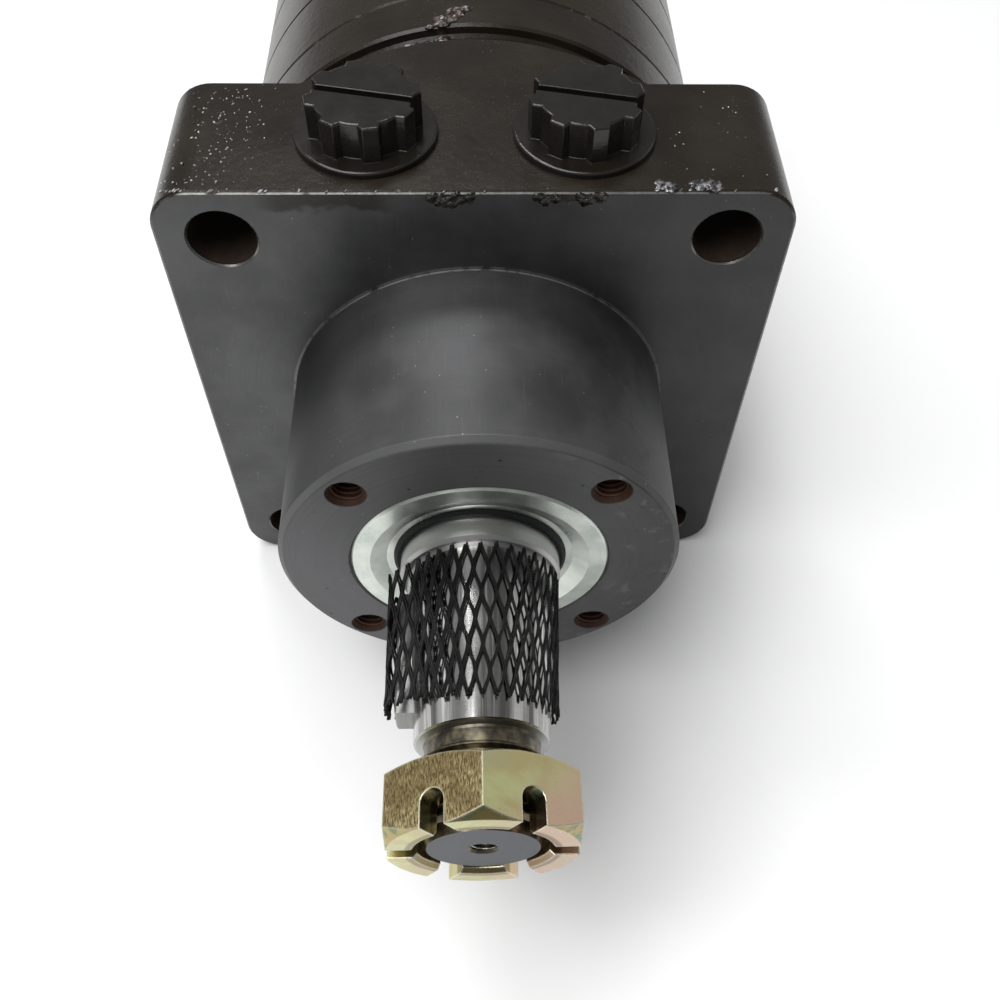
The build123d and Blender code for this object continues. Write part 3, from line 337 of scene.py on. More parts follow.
def neck_edges(g, iron):
    """A rim at the neck's front, rubbed and painted lighter as a highlight, and a painted highlight at its
    root: a bright broken line.
    """
    behind = g.over(g.y, NECK_FRONT + 0.1, NECK_FRONT + 0.4)
    ahead = g.over(g.y, NECK_FRONT + 1.8, NECK_FRONT + 1.2)
    # the rim on the chamfer: rubbed, and painted lighter as a highlight
    rubbed_rim_highlight = g.both(behind, ahead, g.over(g.radius, NECK_R - 1.6, NECK_R - 1.1))
    iron = g.tint(iron, rubbed_rim_highlight, 0.45, (0.19, 0.19, 0.19))
    # painted highlight: a bright broken line where the neck meets the flange
    root_highlight = g.both(g.over(g.radius, NECK_R + 0.65, NECK_R + 0.5), g.within(g.y, -0.75, 0.1, 0.2),
                  g.over(g.noise(0.3, 3), 0.35, 0.5))
    return g.tint(iron, root_highlight, 0.8, (0.34, 0.335, 0.32))


def dust_and_painted_shade(g, iron, face, neck):
    """Pale dust, and painted shade that darkens both sides of the neck and the right of the flange's face."""
    dust = g.both(g.over(g.cells(0.42), 0.075, 0.045), g.over(g.noise(0.09, 3), 0.47, 0.56))
    iron = g.tint(iron, dust, 0.6, (0.42, 0.42, 0.41))
    neck_side = g.both(neck, g.over(g.ny, -0.7, -0.4))
    # painted shade: both sides of the neck and the right of the face are made darker
    painted_shade = g.either(g.both(neck_side, g.over(g.x, -24, -40)),
                    g.math("MULTIPLY", g.both(neck, g.over(g.x, 20, 42)), 0.35),
                    g.math("MULTIPLY", g.both(face, g.over(g.x, 0, 50)), 0.55))
    return g.mix(painted_shade, iron, (0.028, 0.028, 0.029))


def machined_look(g, face, neck, neck_end):
    """Colour, roughness and normal of the bare machined iron."""
    smear = g.noise(0.05, 5)
    iron = tooled_iron(g, smear, neck)
    iron = neck_end_marks_and_light(g, iron, neck_end)
    iron = neck_edges(g, iron)
    iron = dust_and_painted_shade(g, iron, face, neck)
    rough = g.math("ADD", g.math("MULTIPLY", smear, 0.22), g.blend(neck, 0.33, 0.46))
    normal = g.bump(g.noise(1.0, 2, g.around(9.0, 0.6)), 0.12, 0.00003)
    normal = g.bump(g.noise(2.2, 3), 0.10, 0.00004, normal)
    return iron, rough, normal


def paint_over_edge(g, face):
    """Masks of the paint that has run over the top edge on to the face: a ragged film, and glossy beads."""
    ragged = g.math("ADD", g.z, g.math("MULTIPLY", g.noise(0.16, 5), 9.0))
    film = g.both(face, g.over(ragged, BLOCK_TOP - 0.9, BLOCK_TOP + 0.7), g.within(g.x, -46, -13, 8.0))
    curled = g.math("ADD", g.z, g.math("MULTIPLY", g.noise(0.35, 4), 4.0))
    spans = g.either(g.within(g.x, -11, 0.5, 2.0), g.within(g.x, 10, 27, 3.0))
    beads = g.both(face, g.over(curled, BLOCK_TOP - 0.9, BLOCK_TOP - 0.5), spans)
    return film, g.both(beads, g.over(g.noise(0.12, 3), 0.38, 0.46))


def worn_edges(g):
    """The bright line worn along the top face's front edge, and lighter rubs on the block's other edges."""
    along = g.both(g.over(g.y, -0.1, 0.02), g.over(g.y, 0.36, 0.2))
    front_edge = g.both(along, g.over(g.ny, -0.3, -0.5), g.over(g.ny, -0.95, -0.9))
    high = g.over(g.z, BLOCK_TOP - 0.9, BLOCK_TOP - 0.6)
    top_edge = g.both(front_edge, high, g.over(g.noise(0.22, 4), 0.34, 0.46))
    other_edge = g.both(front_edge, g.over(g.noise(0.25, 5), 0.5, 0.64))
    return g.either(top_edge, g.math("MULTIPLY", other_edge, 0.35))


def near_holes(g, at, reach):
    """A mask of what lies within reach of four places at (+-at, +-at), seen along the shaft."""
    dx = g.math("SUBTRACT", g.math("ABSOLUTE", g.x), at)
    dz = g.math("SUBTRACT", g.math("ABSOLUTE", g.z), at)
    away = g.math("SQRT", g.math("ADD", g.square(dx), g.square(dz)))
    return g.over(away, reach, reach - 0.15)


def hole_colours(g, colour):
    """Brown walls and bright mouths in the mounting holes, and rust in the tapped ones, with their masks."""
    in_block = g.both(g.over(g.y, 0.6, 0.9), g.over(g.y, BLOCK_REAR - 0.3, BLOCK_REAR - 0.6))
    inside = g.both(near_holes(g, HOLE_AT, 7.3), in_block)
    colour = g.mix(inside, colour, g.mix(g.noise(0.35, 5), (0.009, 0.006, 0.004), (0.045, 0.028, 0.019)))
    mouths = g.both(near_holes(g, HOLE_AT, 7.7), g.over(g.y, 0.02, 0.08), g.over(g.y, 0.5, 0.42))
    colour = g.mix(mouths, colour, (0.20, 0.195, 0.185))
    taps = g.both(near_holes(g, TAP_AT, 4.5), g.over(g.y, NECK_FRONT + 0.06, NECK_FRONT + 0.2))
    colour = g.mix(taps, colour, g.mix(g.noise(1.1, 5), (0.010, 0.004, 0.002), (0.055, 0.020, 0.009)))
    return colour, g.either(inside, taps), mouths


def housing_finish():
    """Bare machined iron on the flange's face and the neck, paint on the rest, and rust in the holes."""
    g = Graph("housing_finish")
    paint, paint_rough, paint_normal = painted_look(g)
    face, neck, neck_end = machined_zones(g)
    iron, iron_rough, iron_normal = machined_look(g, face, neck, neck_end)
    film, beads = paint_over_edge(g, face)
    painted_over = g.either(g.math("MULTIPLY", film, 0.85), beads)
    bare = g.both(g.either(face, neck), g.math("SUBTRACT", 1.0, painted_over))
    colour = g.mix(bare, paint, iron)
    rough = g.blend(bare, paint_rough, g.blend(beads, iron_rough, 0.15))
    worn = worn_edges(g)
    colour = g.mix(worn, colour, g.mix(g.noise(0.8, 3), (0.08, 0.078, 0.074), (0.34, 0.335, 0.32)))
    colour, brown, mouths = hole_colours(g, colour)
    rough = g.blend(brown, g.blend(worn, rough, 0.34), 0.7)
    metal = g.blend(brown, g.blend(g.either(bare, worn, mouths), 0.0, 0.9), 0.1)
    normal = g.turn_into(bare, paint_normal, iron_normal)
    return g.finish(colour, rough, metal, normal, Specular_IOR_Level=0.30)


def rust():
    g = Graph("rust")
    mottle = g.noise(0.9, 5)
    colour = g.mix(mottle, (0.016, 0.006, 0.003), (0.095, 0.036, 0.017))
    return g.finish(colour, g.blend(mottle, 0.5, 0.8), None, g.bump(mottle, 0.4, 0.0002))


def chipped_metal():
    """Silvery metal where the paint has broken away."""
    g = Graph("chipped_metal", metallic=0.85)
    mottle = g.noise(0.8, 5)
    colour = g.mix(g.over(mottle, 0.4, 0.65), (0.05, 0.05, 0.052), (0.36, 0.36, 0.37))
    return g.finish(colour, g.blend(mottle, 0.3, 0.55), None, g.bump(mottle, 0.5, 0.0003))


def flash_bead():
    """The reddish and silvery run of filler in the groove behind the ports."""
    g = Graph("flash_bead", metallic=0.3)
    mottle = g.noise(0.35, 5)
    colour = g.mix(g.over(mottle, 0.35, 0.6), (0.016, 0.011, 0.009), (0.060, 0.036, 0.030))
    colour = g.mix(g.over(g.noise(0.8, 3), 0.54, 0.64), colour, (0.34, 0.33, 0.32))
    return g.finish(colour, g.blend(mottle, 0.3, 0.5), None, g.bump(mottle, 0.4, 0.0004))


def grit_with_painted_glints():
    """Specks caught under the paint, coloured pale grey as painted glints."""
    g = Graph("grit_with_painted_glints", metallic=0.7)
    mottle = g.noise(0.9, 3)
    colour = g.mix(g.over(mottle, 0.4, 0.6), (0.05, 0.047, 0.042), (0.42, 0.41, 0.39))
    return g.finish(colour, g.blend(mottle, 0.15, 0.4), None, g.bump(mottle, 0.3, 0.0002))


# ---- steel and plating ---------------------------------------------------------------------------
def steel(name, light, dark, roughness):
    """Ground or hardened steel with fine marks round its axis."""
    g = Graph(name, metallic=1.0)
    fine = g.noise(1.0, 2, g.around(3.0, 0.3))
    cloud = g.noise(0.12, 4)
    colour = g.mix(g.math("ADD", g.math("MULTIPLY", fine, 0.6), g.math("MULTIPLY", cloud, 0.4)), dark, light)
    rough = g.math("ADD", g.math("MULTIPLY", cloud, 0.16), roughness - 0.08)
    return g.finish(colour, rough, None, g.bump(fine, 0.1, 0.00003))


def ground_taper(g, fine):
    """Colour and roughness of the ground taper, with painted reflections along it: dark streaks and bright
    glints.
    """
    cloud = g.noise(0.16, 4)
    dark_reflection_streaks = g.noise(1.0, 3, g.around(0.02, 9.0))
    bright_reflection_glints = g.noise(1.0, 2, g.around(0.02, 17.0))
    colour = g.mix(fine, (0.40, 0.398, 0.39), (0.54, 0.535, 0.52))
    # painted reflections: dark streaks and near-white glints along the taper
    colour = g.tint(colour, g.over(dark_reflection_streaks, 0.46, 0.6), 0.65, (0.17, 0.165, 0.155))
    colour = g.tint(colour, g.over(bright_reflection_glints, 0.60, 0.66), 0.7, (0.92, 0.92, 0.90))
    colour = g.tint(colour, g.over(cloud, 0.55, 0.75), 0.25, (0.42, 0.40, 0.37))
    return colour, g.math("ADD", g.math("MULTIPLY", cloud, 0.12), 0.12)


def shaft_finish():
    """Ground taper and journal, a dull stained thread and relief, and a matt end face."""
    g = Graph("shaft_finish", metallic=1.0)
    fine = g.noise(1.0, 2, g.around(7.0, 0.35))
    colour, rough = ground_taper(g, fine)
    journal = g.over(g.y, TAPER_START - 0.2, TAPER_START + 0.2)
    colour = g.mix(journal, colour, g.mix(fine, (0.35, 0.345, 0.345), (0.45, 0.44, 0.44)))
    rough = g.blend(journal, rough, 0.34)
    threaded = g.over(g.y, TAPER_END + 0.3, TAPER_END - 0.1)
    stain = g.mix(g.over(g.noise(0.45, 5), 0.35, 0.7), (0.065, 0.060, 0.050), (0.20, 0.17, 0.11))
    colour = g.mix(threaded, colour, stain)
    rough = g.blend(threaded, rough, 0.33)
    small_end = g.both(g.over(g.ny, -0.6, -0.8), g.over(g.y, TAPER_END + 0.4, TAPER_END + 0.15),
                       g.over(g.y, TAPER_END - 0.6, TAPER_END - 0.3))
    colour = g.mix(small_end, colour, (0.40, 0.41, 0.41))
    tip = g.both(g.over(g.y, SHAFT_TIP + 0.3, SHAFT_TIP + 0.1), g.over(g.ny, -0.8, -0.95),
                 g.over(g.radius, 2.9, 3.1))
    grain = g.noise(2.5, 4)
    colour = g.mix(tip, colour, g.mix(grain, (0.10, 0.105, 0.115), (0.145, 0.15, 0.163)))
    rough = g.blend(tip, rough, 0.52)
    normal = g.bump(grain, 0.12, 0.00003, g.bump(fine, 0.10, 0.00003))
    return g.finish(colour, rough, None, normal)


def zinc_ring():
    """Pale zinc plate with a faint green tone, small pits and smudges."""
    g = Graph("zinc_ring", metallic=1.0)
    cloud = g.noise(0.13, 5)
    fine = g.noise(1.0, 3, g.around(4.0, 0.8))
    colour = g.mix(g.over(cloud, 0.3, 0.7), (0.52, 0.575, 0.53), (0.74, 0.78, 0.72))
    colour = g.tint(colour, g.over(fine, 0.5, 0.75), 0.2, (0.40, 0.44, 0.41))
    pits = g.both(g.over(g.cells(0.9), 0.14, 0.07), g.over(g.noise(0.2, 3), 0.52, 0.62))
    colour = g.tint(colour, pits, 0.7, (0.10, 0.11, 0.10))
    rough = g.math("ADD", g.math("MULTIPLY", cloud, 0.20), 0.20)
    return g.finish(colour, rough, None, g.bump(cloud, 0.12, 0.0002))


def passivate_drifts(g, cloud):
    """Gold and olive, with pink drifts that thicken towards the nut's lower right, and green ones."""
    drift = g.noise(0.06, 3, distortion=1.2)
    colour = g.mix(g.over(cloud, 0.35, 0.68), (0.47, 0.40, 0.20), (0.56, 0.57, 0.29))
    low = g.math("ADD", g.math("SUBTRACT", g.x, g.y), g.math("MULTIPLY", g.noise(0.12, 3), 12.0))
    pink = g.either(g.math("MULTIPLY", g.over(drift, 0.58, 0.72), 0.6), g.over(low, 115, 126))
    colour = g.tint(colour, pink, 0.75, (0.62, 0.41, 0.33))
    return g.tint(colour, g.over(drift, 0.44, 0.30), 0.25, (0.36, 0.50, 0.38))


def passivate_bevels(g, colour):
    """Teal patches on the castle's bevelled corners, and a dull brown one above."""
    bevelled = g.both(g.over(g.y, -98, -99), g.within(g.ny, -0.95, -0.25, 0.1), g.over(g.radius, 15.5, 16.0))
    teal = g.mix(g.over(g.noise(0.22, 3, distortion=1.0), 0.42, 0.56), (0.11, 0.21, 0.14), (0.40, 0.31, 0.13))
    colour = g.tint(colour, bevelled, 0.8, teal)
    dull = g.both(bevelled, g.within(g.x, -6.5, 6.5, 1.0), g.over(g.z, 0, 1))
    return g.tint(colour, dull, 0.8, (0.085, 0.068, 0.026))


def yellow_zinc():
    """Yellow passivate: gold and olive with pink and green drifts, and one flat that is sawn rough."""
    g = Graph("yellow_zinc", metallic=1.0)
    cloud = g.noise(0.09, 4, distortion=0.6)
    colour = passivate_bevels(g, passivate_drifts(g, cloud))
    rough = g.math("ADD", g.math("MULTIPLY", cloud, 0.18), 0.18)
    sawn = g.both(g.over(g.nx, -0.35, -0.45), g.over(g.nz, 0.7, 0.8),
                  g.over(g.math("ABSOLUTE", g.ny), 0.2, 0.1))
    scratch = g.noise(1.0, 5, g.stretched(6.0, 0.9, 6.0), rough=0.7)
    torn = g.mix(g.over(scratch, 0.40, 0.62), (0.085, 0.056, 0.022), (0.60, 0.50, 0.26))
    torn = g.tint(torn, g.over(g.noise(0.14, 3), 0.42, 0.62), 0.5, (0.12, 0.080, 0.032))
    colour = g.mix(sawn, colour, torn)
    rough = g.blend(sawn, rough, 0.34)
    # painted shade: the nut is darker inside its bore
    bore = g.over(g.radius, 15.3, 14.6)
    colour = g.tint(colour, bore, 0.75, (0.16, 0.11, 0.05))
    # painted highlight, partly wear: the nut's sharp edges are tinted pale
    colour = g.tint(colour, g.edges(0.6), 0.8, (0.80, 0.77, 0.62))
    normal = g.bump(scratch, g.math("MULTIPLY", sawn, 0.35), 0.0002, g.rounded(0.4))
    return g.finish(colour, rough, None, normal)


def black_oxide():
    g = Graph("black_oxide", metallic=0.8)
    cloud = g.noise(0.3, 4)
    colour = g.mix(cloud, (0.03, 0.03, 0.032), (0.075, 0.073, 0.07))
    return g.finish(colour, g.blend(cloud, 0.3, 0.45), None, g.bump(g.noise(1.4, 3), 0.1, 0.0001))


# ---- plastic and rubber --------------------------------------------------------------------------
def plug_plastic():
    """Glossy black plastic with slightly rounded corners."""
    g = Graph("plug_plastic")
    cloud = g.noise(0.25, 4)
    colour = g.mix(cloud, (0.007, 0.0058, 0.0044), (0.015, 0.0125, 0.0095))
    rough = g.math("ADD", g.math("MULTIPLY", cloud, 0.12), 0.14)
    normal = g.bump(g.noise(0.9, 3), 0.2, 0.0002, g.rounded(0.35))
    return g.finish(colour, rough, None, normal, Specular_IOR_Level=0.5)


def net_plastic():
    """Black polythene strands with a low sheen."""
    g = Graph("net_plastic")
    cloud = g.noise(0.25, 4)
    colour = g.mix(cloud, (0.0025, 0.0025, 0.003), (0.007, 0.007, 0.0075))
    rough = g.math("ADD", g.math("MULTIPLY", cloud, 0.12), 0.29)
    return g.finish(colour, rough, None, g.bump(g.noise(0.9, 3), 0.05, 0.0002), Specular_IOR_Level=0.16)


def seal_rubber():
    g = Graph("seal_rubber")
    grain = g.noise(1.5, 4)
    colour = g.mix(grain, (0.003, 0.003, 0.0035), (0.008, 0.008, 0.009))
    normal = g.bump(grain, 0.1, 0.0001)
    return g.finish(colour, g.blend(grain, 0.5, 0.62), None, normal, Specular_IOR_Level=0.2)


FINISHES = {
    "black_paint": black_paint(),
    "polished_steel": steel("polished_steel", (0.66, 0.655, 0.64), (0.46, 0.455, 0.45), 0.27),
    "bearing_steel": steel("bearing_steel", (0.62, 0.62, 0.63), (0.46, 0.46, 0.47), 0.24),
    "hardened_steel": steel("hardened_steel", (0.44, 0.44, 0.45), (0.28, 0.28, 0.29), 0.34),
    "zinc_plate": zinc_ring(),
    "yellow_zinc": yellow_zinc(),
    "black_oxide": black_oxide(),
    "seal_rubber": seal_rubber(),
    "plug_plastic": plug_plastic(),
    "net_plastic": net_plastic(),
}
OWN_FINISH = {
    "housing": housing_finish(),
    "output_shaft": shaft_finish(),
    "shaft_key": steel("key_steel", (0.33, 0.33, 0.32), (0.17, 0.17, 0.165), 0.36),
}


def dress(obj, material):
    obj.data.materials.clear()
    obj.data.materials.append(material)


def dress_frame():
    """Give every CAD node its own finish, or the one of its slot."""
    for part in frame["record"]["subparts"]:
        name = part["node"]
        dress(nodes[name], OWN_FINISH.get(name, FINISHES[part["material_slot"]]))


# ---- mesh helpers --------------------------------------------------------------------------------
def mesh_piece(name, vertices, faces, material, body):
    """A smooth-shaded piece that rides a body and is dressed in the given finish."""
    mesh = bpy.data.meshes.new(name)
    mesh.from_pydata([tuple(v) for v in vertices], [], faces)
    mesh.validate()
    obj = bpy.data.objects.new(name, mesh)
    bpy.context.scene.collection.objects.link(obj)
    mesh.polygons.foreach_set("use_smooth", [True] * len(mesh.polygons))
    dress(obj, material)
    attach(obj, body)
    return obj


def add_tube(vertices, faces, path, radii, sides):
    """A closed tube along a path, with a radius for each point."""
    start = len(vertices)
    up = Vector((0.31, 0.22, 0.92))     # along no strand and no thread, so that the section never flips
    for index, point in enumerate(path):
        ahead = path[min(index + 1, len(path) - 1)] - path[max(index - 1, 0)]
        ahead.normalize()
        side = ahead.cross(up).normalized()
        lift = side.cross(ahead).normalized()
        for step in range(sides):
            turn = 2 * math.pi * step / sides
            offset = side * math.cos(turn) + lift * math.sin(turn)
            vertices.append(point + offset * radii[index])
    for index in range(len(path) - 1):
        for step in range(sides):
            a = start + index * sides + step
            b = start + index * sides + (step + 1) % sides
            faces.append((a, b, b + sides, a + sides))
    last = start + (len(path) - 1) * sides
    faces.append(tuple(start + step for step in reversed(range(sides))))
    faces.append(tuple(last + step for step in range(sides)))


def add_lump(vertices, faces, centre, size, normal, draw, rough=0.35):
    """A small irregular dome that stands on a surface; rough is how ragged its outline is."""
    rings, around, sunk = 3, 8, 0.05
    start = len(vertices)
    axis = Vector(normal).normalized()
    side = axis.orthogonal().normalized()
    other = axis.cross(side)
    for ring in range(rings):
        tilt = ring / rings * math.pi / 2
        for step in range(around):
            turn = 2 * math.pi * step / around
            wobble = 1 + rough * (draw.random() - 0.5)
            flat = side * math.cos(turn) * size[0] + other * math.sin(turn) * size[1]
            offset = flat * math.cos(tilt) * wobble + axis * (math.sin(tilt) * size[2] - sunk)
            vertices.append((Vector(centre) + offset) * MM)
    vertices.append((Vector(centre) + axis * size[2] * (0.85 + 0.3 * draw.random())) * MM)
    for ring in range(rings - 1):
        for step in range(around):
            a = start + ring * around + step
            b = start + ring * around + (step + 1) % around
            faces.append((a, b, b + around, a + around))
    top = start + rings * around
    last = top - around
    for step in range(around):
        faces.append((last + step, last + (step + 1) % around, top))
    faces.append(tuple(start + step for step in reversed(range(around))))


# ---- protective net on the shaft -----------------------------------------------------------------
NET_REAR, NET_FRONT = -51.6, -81.4
NET_R = 16.75
NET_KEY_X, NET_KEY_HALF = -19.3, 4.3    # the side of the net that lies over the key
NET_KEY_ARC = (220, 320)                # degrees from +Z towards +X between which it leaves the shaft
NET_SLACK_ABOVE, NET_SLACK_RIGHT = 2.1, 1.4
NET_CELLS = 35
CELL_LENGTH = 11.2
NET_TRAVEL = (NET_REAR - NET_FRONT) / CELL_LENGTH
STRAND_R = 0.19
STRAND_STEPS = 30
LAYER_LIFT, CROSSING_LIFT = 0.14, 0.05


def net_outline():
    """The sleeve's section as points from +Z round through +X, -Z and -X, stretched over the key."""
    points = []
    for step in range(361):
        if not NET_KEY_ARC[0] < step < NET_KEY_ARC[1]:
            points.append((NET_R * math.sin(math.radians(step)), NET_R * math.cos(math.radians(step))))
        elif step == sum(NET_KEY_ARC) // 2:
            points += [(NET_KEY_X, z) for z in (-NET_KEY_HALF, 0, NET_KEY_HALF)]
    return points


NET_OUTLINE = net_outline()
NET_STEPS = [0.0]                       # the way round to each of the outline's points
for first, second in zip(NET_OUTLINE, NET_OUTLINE[1:]):
    NET_STEPS.append(NET_STEPS[-1] + math.dist(first, second))


def net_point(share, y, lift):
    """The place on the sleeve at a share of the way round from +Z.

    The net is drawn in above and to the right, as the taper under it gets thinner.
    """
    along = (share % 1.0) * NET_STEPS[-1]
    index = next(i for i in range(1, len(NET_STEPS)) if NET_STEPS[i] >= along - 1e-9)
    part = (along - NET_STEPS[index - 1]) / max(NET_STEPS[index] - NET_STEPS[index - 1], 1e-9)
    a, b = NET_OUTLINE[index - 1], NET_OUTLINE[index]
    x, z = a[0] + (b[0] - a[0]) * part, a[1] + (b[1] - a[1]) * part
    size = math.hypot(x, z)
    down = (NET_REAR - y) / (NET_REAR - NET_FRONT)
    slack = NET_SLACK_ABOVE * max(0.0, z / size) + NET_SLACK_RIGHT * max(0.0, x / size) ** 2
    grow = (size + lift - down * min(slack, NET_SLACK_ABOVE)) / size
    return Vector((x * grow * MM, y * MM, z * grow * MM))


def net_front(share):
    """Where the sleeve is cut off at the front: longest above and to the right, and shortest underneath."""
    angle = 2 * math.pi * share
    above, right = math.cos(angle), math.sin(angle)
    return NET_FRONT - 3.2 * max(0.0, above) - 1.7 * max(0.0, right) + 2.0 * max(0.0, -above)


def strand_wander(share, y):
    """Where the net has slipped and bunched: a slow sideways drift of a strand, in cells."""
    angle = 2 * math.pi * share
    return 0.22 * noise.noise(Vector((math.sin(angle) * 2.1, math.cos(angle) * 2.1, y * 0.05)))


def net_strand(cell, lean, layer, draw):
    """One strand's path and radii: it snakes from knot to knot, and is thicker on the left of the shaft."""
    start = NET_REAR + draw.uniform(-0.5, 0.15)
    stop = net_front((cell + lean * NET_TRAVEL) / NET_CELLS) + draw.uniform(-0.4, 0.9)
    path, radii = [], []
    for step in range(STRAND_STEPS + 1):
        y = start + (stop - start) * step / STRAND_STEPS
        travel = (NET_REAR - y) / CELL_LENGTH
        snake = 0.45 * math.sin(4 * math.pi * travel) / (4 * math.pi)
        share = (cell + lean * (travel - snake)) / NET_CELLS
        right = math.sin(2 * math.pi * share)
        offset = layer * (0.12 + 0.16 * max(0.0, -right) - 0.06 * max(0.0, right)) + strand_wander(share, y)
        frayed = 0.5 * max(0.0, (step - STRAND_STEPS + 3) / 3) * draw.uniform(0.0, 1.0)
        lift = LAYER_LIFT * layer + CROSSING_LIFT * lean + frayed
        path.append(net_point(share + offset / NET_CELLS, y, lift))
        knot = 0.5 + 0.5 * math.cos(4 * math.pi * travel)
        radii.append((STRAND_R + 0.03 * knot + 0.09 * max(0.0, -right)) * MM)
    return path, radii


def protective_net():
    """Two layers of an extruded diamond net, each of two sets of crossing strands, cut off at both ends."""
    draw = random.Random(11)
    vertices, faces = [], []
    for layer in (0, 1):
        for lean in (-1, 1):
            for cell in range(NET_CELLS):
                path, radii = net_strand(cell, lean, layer, draw)
                add_tube(vertices, faces, path, radii, 6)
    net = mesh_piece("protective_net", vertices, faces, FINISHES["net_plastic"], "shaft")
    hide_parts("net_sleeve")


# ---- threads -------------------------------------------------------------------------------------
def thread_ridge(x, z, front, depth, bore, pitch, height):
    """The path and radii of a thin helix against the wall of a hole that opens towards -Y."""
    a_turn = 20
    count = int(depth / pitch) * a_turn
    reach = bore - height * 0.3
    path, radii = [], []
    for step in range(count + 1):
        angle = 2 * math.pi * step / a_turn
        path.append(Vector((x + reach * math.sin(angle), front + pitch * step / a_turn,
                            z + reach * math.cos(angle))) * MM)
        taper = min(1.0, step / 12, (count - step) / 12)
        radii.append(max(0.05, height * taper) * MM)
    return path, radii


def face_tap_threads():
    """The threads of the four tapped holes in the neck's front, brown with rust."""
    vertices, faces = [], []
    for x in (-TAP_AT, TAP_AT):
        for z in (-TAP_AT, TAP_AT):
            path, radii = thread_ridge(x, z, NECK_FRONT + 0.9, 14.0, 3.4, 1.25, 0.34)
            add_tube(vertices, faces, path, radii, 5)
    mesh_piece("face_tap_threads", vertices, faces, rust(), "casing")


def shaft_end_thread():
    """The thread of the small tapped hole in the shaft's tip."""
    vertices, faces = [], []
    path, radii = thread_ridge(0, 0, SHAFT_TIP + 0.4, 10.0, 2.55, 0.9, 0.2)
    add_tube(vertices, faces, path, radii, 5)
    mesh_piece("shaft_end_thread", vertices, faces, FINISHES["polished_steel"], "shaft")


# ---- wear: grit with painted glints, runs of paint, chips and filler ------------------------------
ON_TOP = BLOCK_TOP - 0.02               # lumps on the top face start just under it
UP, FORWARD = (0, 0, 1), (0, -1, 0)


def paint_nibs():
    """Grit caught in the paint: a patch on the left of the block's top face and a few on the right."""
    draw = random.Random(5)
    vertices, faces = [], []
    for _ in range(190):
        x = draw.gauss(-52, 6.0)
        y = draw.uniform(2, 34)
        if -63 < x < -39:
            size = draw.uniform(0.12, 0.34)
            add_lump(vertices, faces, (x, y, ON_TOP), (size, size, size * 0.8), UP, draw)
    for _ in range(26):
        x, y = draw.uniform(40, 62), draw.uniform(1, 34)
        size = draw.uniform(0.12, 0.3)
        add_lump(vertices, faces, (x, y, ON_TOP), (size, size, size * 0.7), UP, draw)
    mesh_piece("paint_nibs", vertices, faces, grit_with_painted_glints(), "casing")


def paint_runs():
    """Thick glossy beads of paint that hang over the top edge on to the front face."""
    draw = random.Random(14)
    vertices, faces = [], []
    for left, right, count in ((-9.5, -0.8, 30), (11.5, 17.5, 18), (20.0, 25.5, 20)):
        for _ in range(count):
            x = draw.uniform(left, right)
            sag = 1.9 * math.sin(math.pi * (x - left) / (right - left))
            z = draw.uniform(BLOCK_TOP - 1.4 - sag, BLOCK_TOP - 0.8)
            wide = draw.uniform(0.4, 1.0)
            size = (wide * 1.3, wide, 0.05 + wide * 0.04)
            add_lump(vertices, faces, (x, -0.02, z), size, FORWARD, draw, 0.7)
    mesh_piece("paint_runs", vertices, faces, FINISHES["plug_plastic"], "casing")


CHIPS_LEFT, CHIPS_WIDTH = 42.6, 6.2     # the patch of raised metal, from its left end


def chip_x(draw):
    """Most chips are in one patch, and the rest in two small ones to its left."""
    if draw.random() < 0.7:
        return draw.uniform(CHIPS_LEFT, CHIPS_LEFT + CHIPS_WIDTH)
    return CHIPS_LEFT - draw.choice((3.6, 5.8)) + draw.uniform(-0.9, 0.9)


def edge_chips():
    """Paint broken away along the front edge of the top face, where the silvery metal is raised."""
    draw = random.Random(8)
    vertices, faces = [], []
    for _ in range(60):
        x, y = chip_x(draw), draw.uniform(0.7, 3.2)
        size = draw.uniform(0.2, 0.9)
        add_lump(vertices, faces, (x, y, ON_TOP), (size * 1.6, size, 0.08 + size * 0.08), UP, draw, 1.1)
    for _ in range(70):
        # flakes along the edge itself, thickest at the left
        x = -62 + 124 * draw.random() ** 1.6
        size = draw.uniform(0.08, 0.26)
        place = (x, draw.uniform(0.25, 0.9), BLOCK_TOP - 0.1)
        add_lump(vertices, faces, place, (size * 2.2, size, size * 0.5), (0, -0.5, 1), draw)
    mesh_piece("edge_chips", vertices, faces, chipped_metal(), "casing")


def flash_run():
    """A lumpy bead across the groove behind the ports."""
    draw = random.Random(21)
    vertices, faces = [], []
    in_groove, on_body = 60.3, 63.2     # the radius that the bead lies at
    count = 46
    for step in range(count):
        share = step / (count - 1)
        angle = math.radians(-13 + 10 * share + draw.uniform(-1.6, 1.6))
        y = 53.5 + 13 * share + draw.uniform(-1.2, 1.2)
        radius = in_groove if GROOVE_FRONT < y < GROOVE_REAR else on_body
        outward = (math.sin(angle), 0, math.cos(angle))
        place = (radius * outward[0], y, radius * outward[2])
        size = draw.uniform(0.6, 1.5)
        add_lump(vertices, faces, place, (size, size, size * 0.5), outward, draw, 0.9)
    mesh_piece("flash_run", vertices, faces, flash_bead(), "casing")


# ---- stage: camera, floor, lights ----------------------------------------------------------------
CAMERA_AT = (-0.00013, -0.17196, 0.20368)
CAMERA_YAW = math.radians(3.51)
CAMERA_PITCH = math.radians(-54.62)
CAMERA_ROLL = math.radians(2.22)
CAMERA_LENS = 38.79
CAMERA_SHIFT = (-0.01705, -0.00663)
FLOOR_HALF = 3.0
FLOOR_GAP = 0.0002


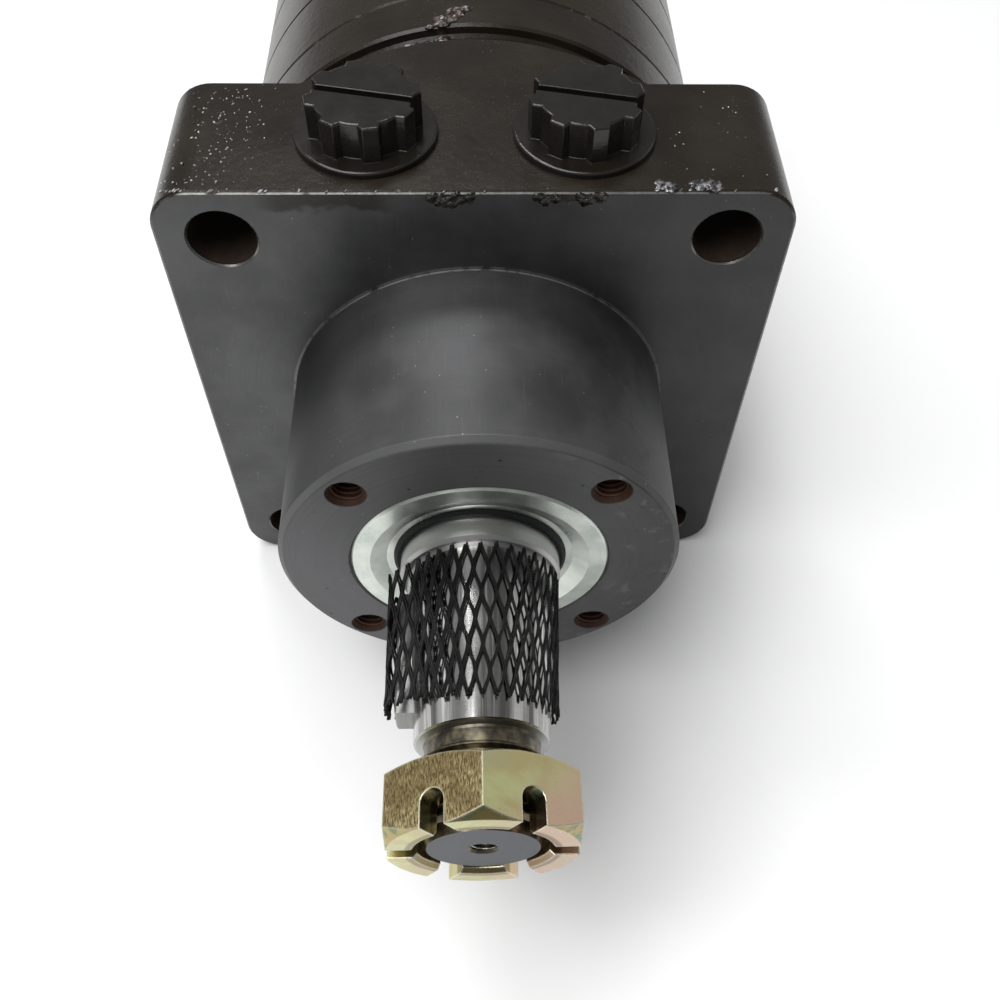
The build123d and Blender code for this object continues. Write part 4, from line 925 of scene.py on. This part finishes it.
def make_camera():
    data = bpy.data.cameras.new("camera")
    data.lens = CAMERA_LENS
    data.sensor_width = 36
    data.shift_x, data.shift_y = CAMERA_SHIFT
    data.clip_start, data.clip_end = 0.01, 20
    camera = bpy.data.objects.new("camera", data)
    bpy.context.scene.collection.objects.link(camera)
    level = math.cos(CAMERA_PITCH)
    ahead = Vector((math.sin(CAMERA_YAW) * level, math.cos(CAMERA_YAW) * level, math.sin(CAMERA_PITCH)))
    right = Vector((math.cos(CAMERA_YAW), -math.sin(CAMERA_YAW), 0))
    up = right.cross(ahead)
    rolled_right = math.cos(CAMERA_ROLL) * right + math.sin(CAMERA_ROLL) * up
    rolled_up = math.cos(CAMERA_ROLL) * up - math.sin(CAMERA_ROLL) * right
    turn = Matrix((rolled_right, rolled_up, -ahead)).transposed().to_4x4()
    camera.matrix_world = Matrix.Translation(CAMERA_AT) @ turn
    bpy.context.scene.camera = camera


def make_floor():
    """A pale floor just under the object."""
    g = Graph("floor", roughness=0.6)
    pale = g.mix(g.noise(0.004, 2), (0.86, 0.86, 0.86), (0.9, 0.9, 0.9))
    level = cad_box[0].z - FLOOR_GAP
    corners = [(sx * FLOOR_HALF, sy * FLOOR_HALF, level) for sx, sy in ((-1, -1), (1, -1), (1, 1), (-1, 1))]
    mesh = bpy.data.meshes.new("floor")
    mesh.from_pydata(corners, [], [(0, 1, 2, 3)])
    floor = bpy.data.objects.new("floor", mesh)
    bpy.context.scene.collection.objects.link(floor)
    dress(floor, g.finish(pale))


def area_light(name, place, target, size, power):
    data = bpy.data.lights.new(name, "AREA")
    data.shape = "RECTANGLE"
    data.size, data.size_y = size
    data.energy = power
    light = bpy.data.objects.new(name, data)
    bpy.context.scene.collection.objects.link(light)
    light.location = place
    light.rotation_mode = "QUATERNION"
    light.rotation_quaternion = (Vector(target) - Vector(place)).to_track_quat("-Z", "Y")


def make_lights():
    """A big soft light overhead, a smaller one behind for the top edges, and a faint one on each side."""
    world = bpy.data.worlds.new("studio")
    world.use_nodes = True
    background = world.node_tree.nodes["Background"]
    background.inputs["Color"].default_value = (0.98, 0.99, 1.0, 1)
    background.inputs["Strength"].default_value = 0.22
    bpy.context.scene.world = world
    middle = (0, 0, 0)
    area_light("key", (-0.26, 0.80, 1.28), middle, (0.6, 0.26), 8)
    area_light("overhead", (-0.6, -0.40, 1.6), (0, -0.05, 0), (1.4, 1.2), 32)
    area_light("left_fill", (-1.10, 0.44, 0.60), middle, (0.8, 0.7), 1.0)
    area_light("right_fill", (1.10, 0.44, 0.60), middle, (0.9, 0.7), 1.05)
    bpy.context.scene.view_settings.view_transform = "Standard"


make_camera()
make_floor()
make_lights()
dress_frame()
protective_net()
face_tap_threads()
shaft_end_thread()
paint_nibs()
paint_runs()
edge_chips()
flash_run()
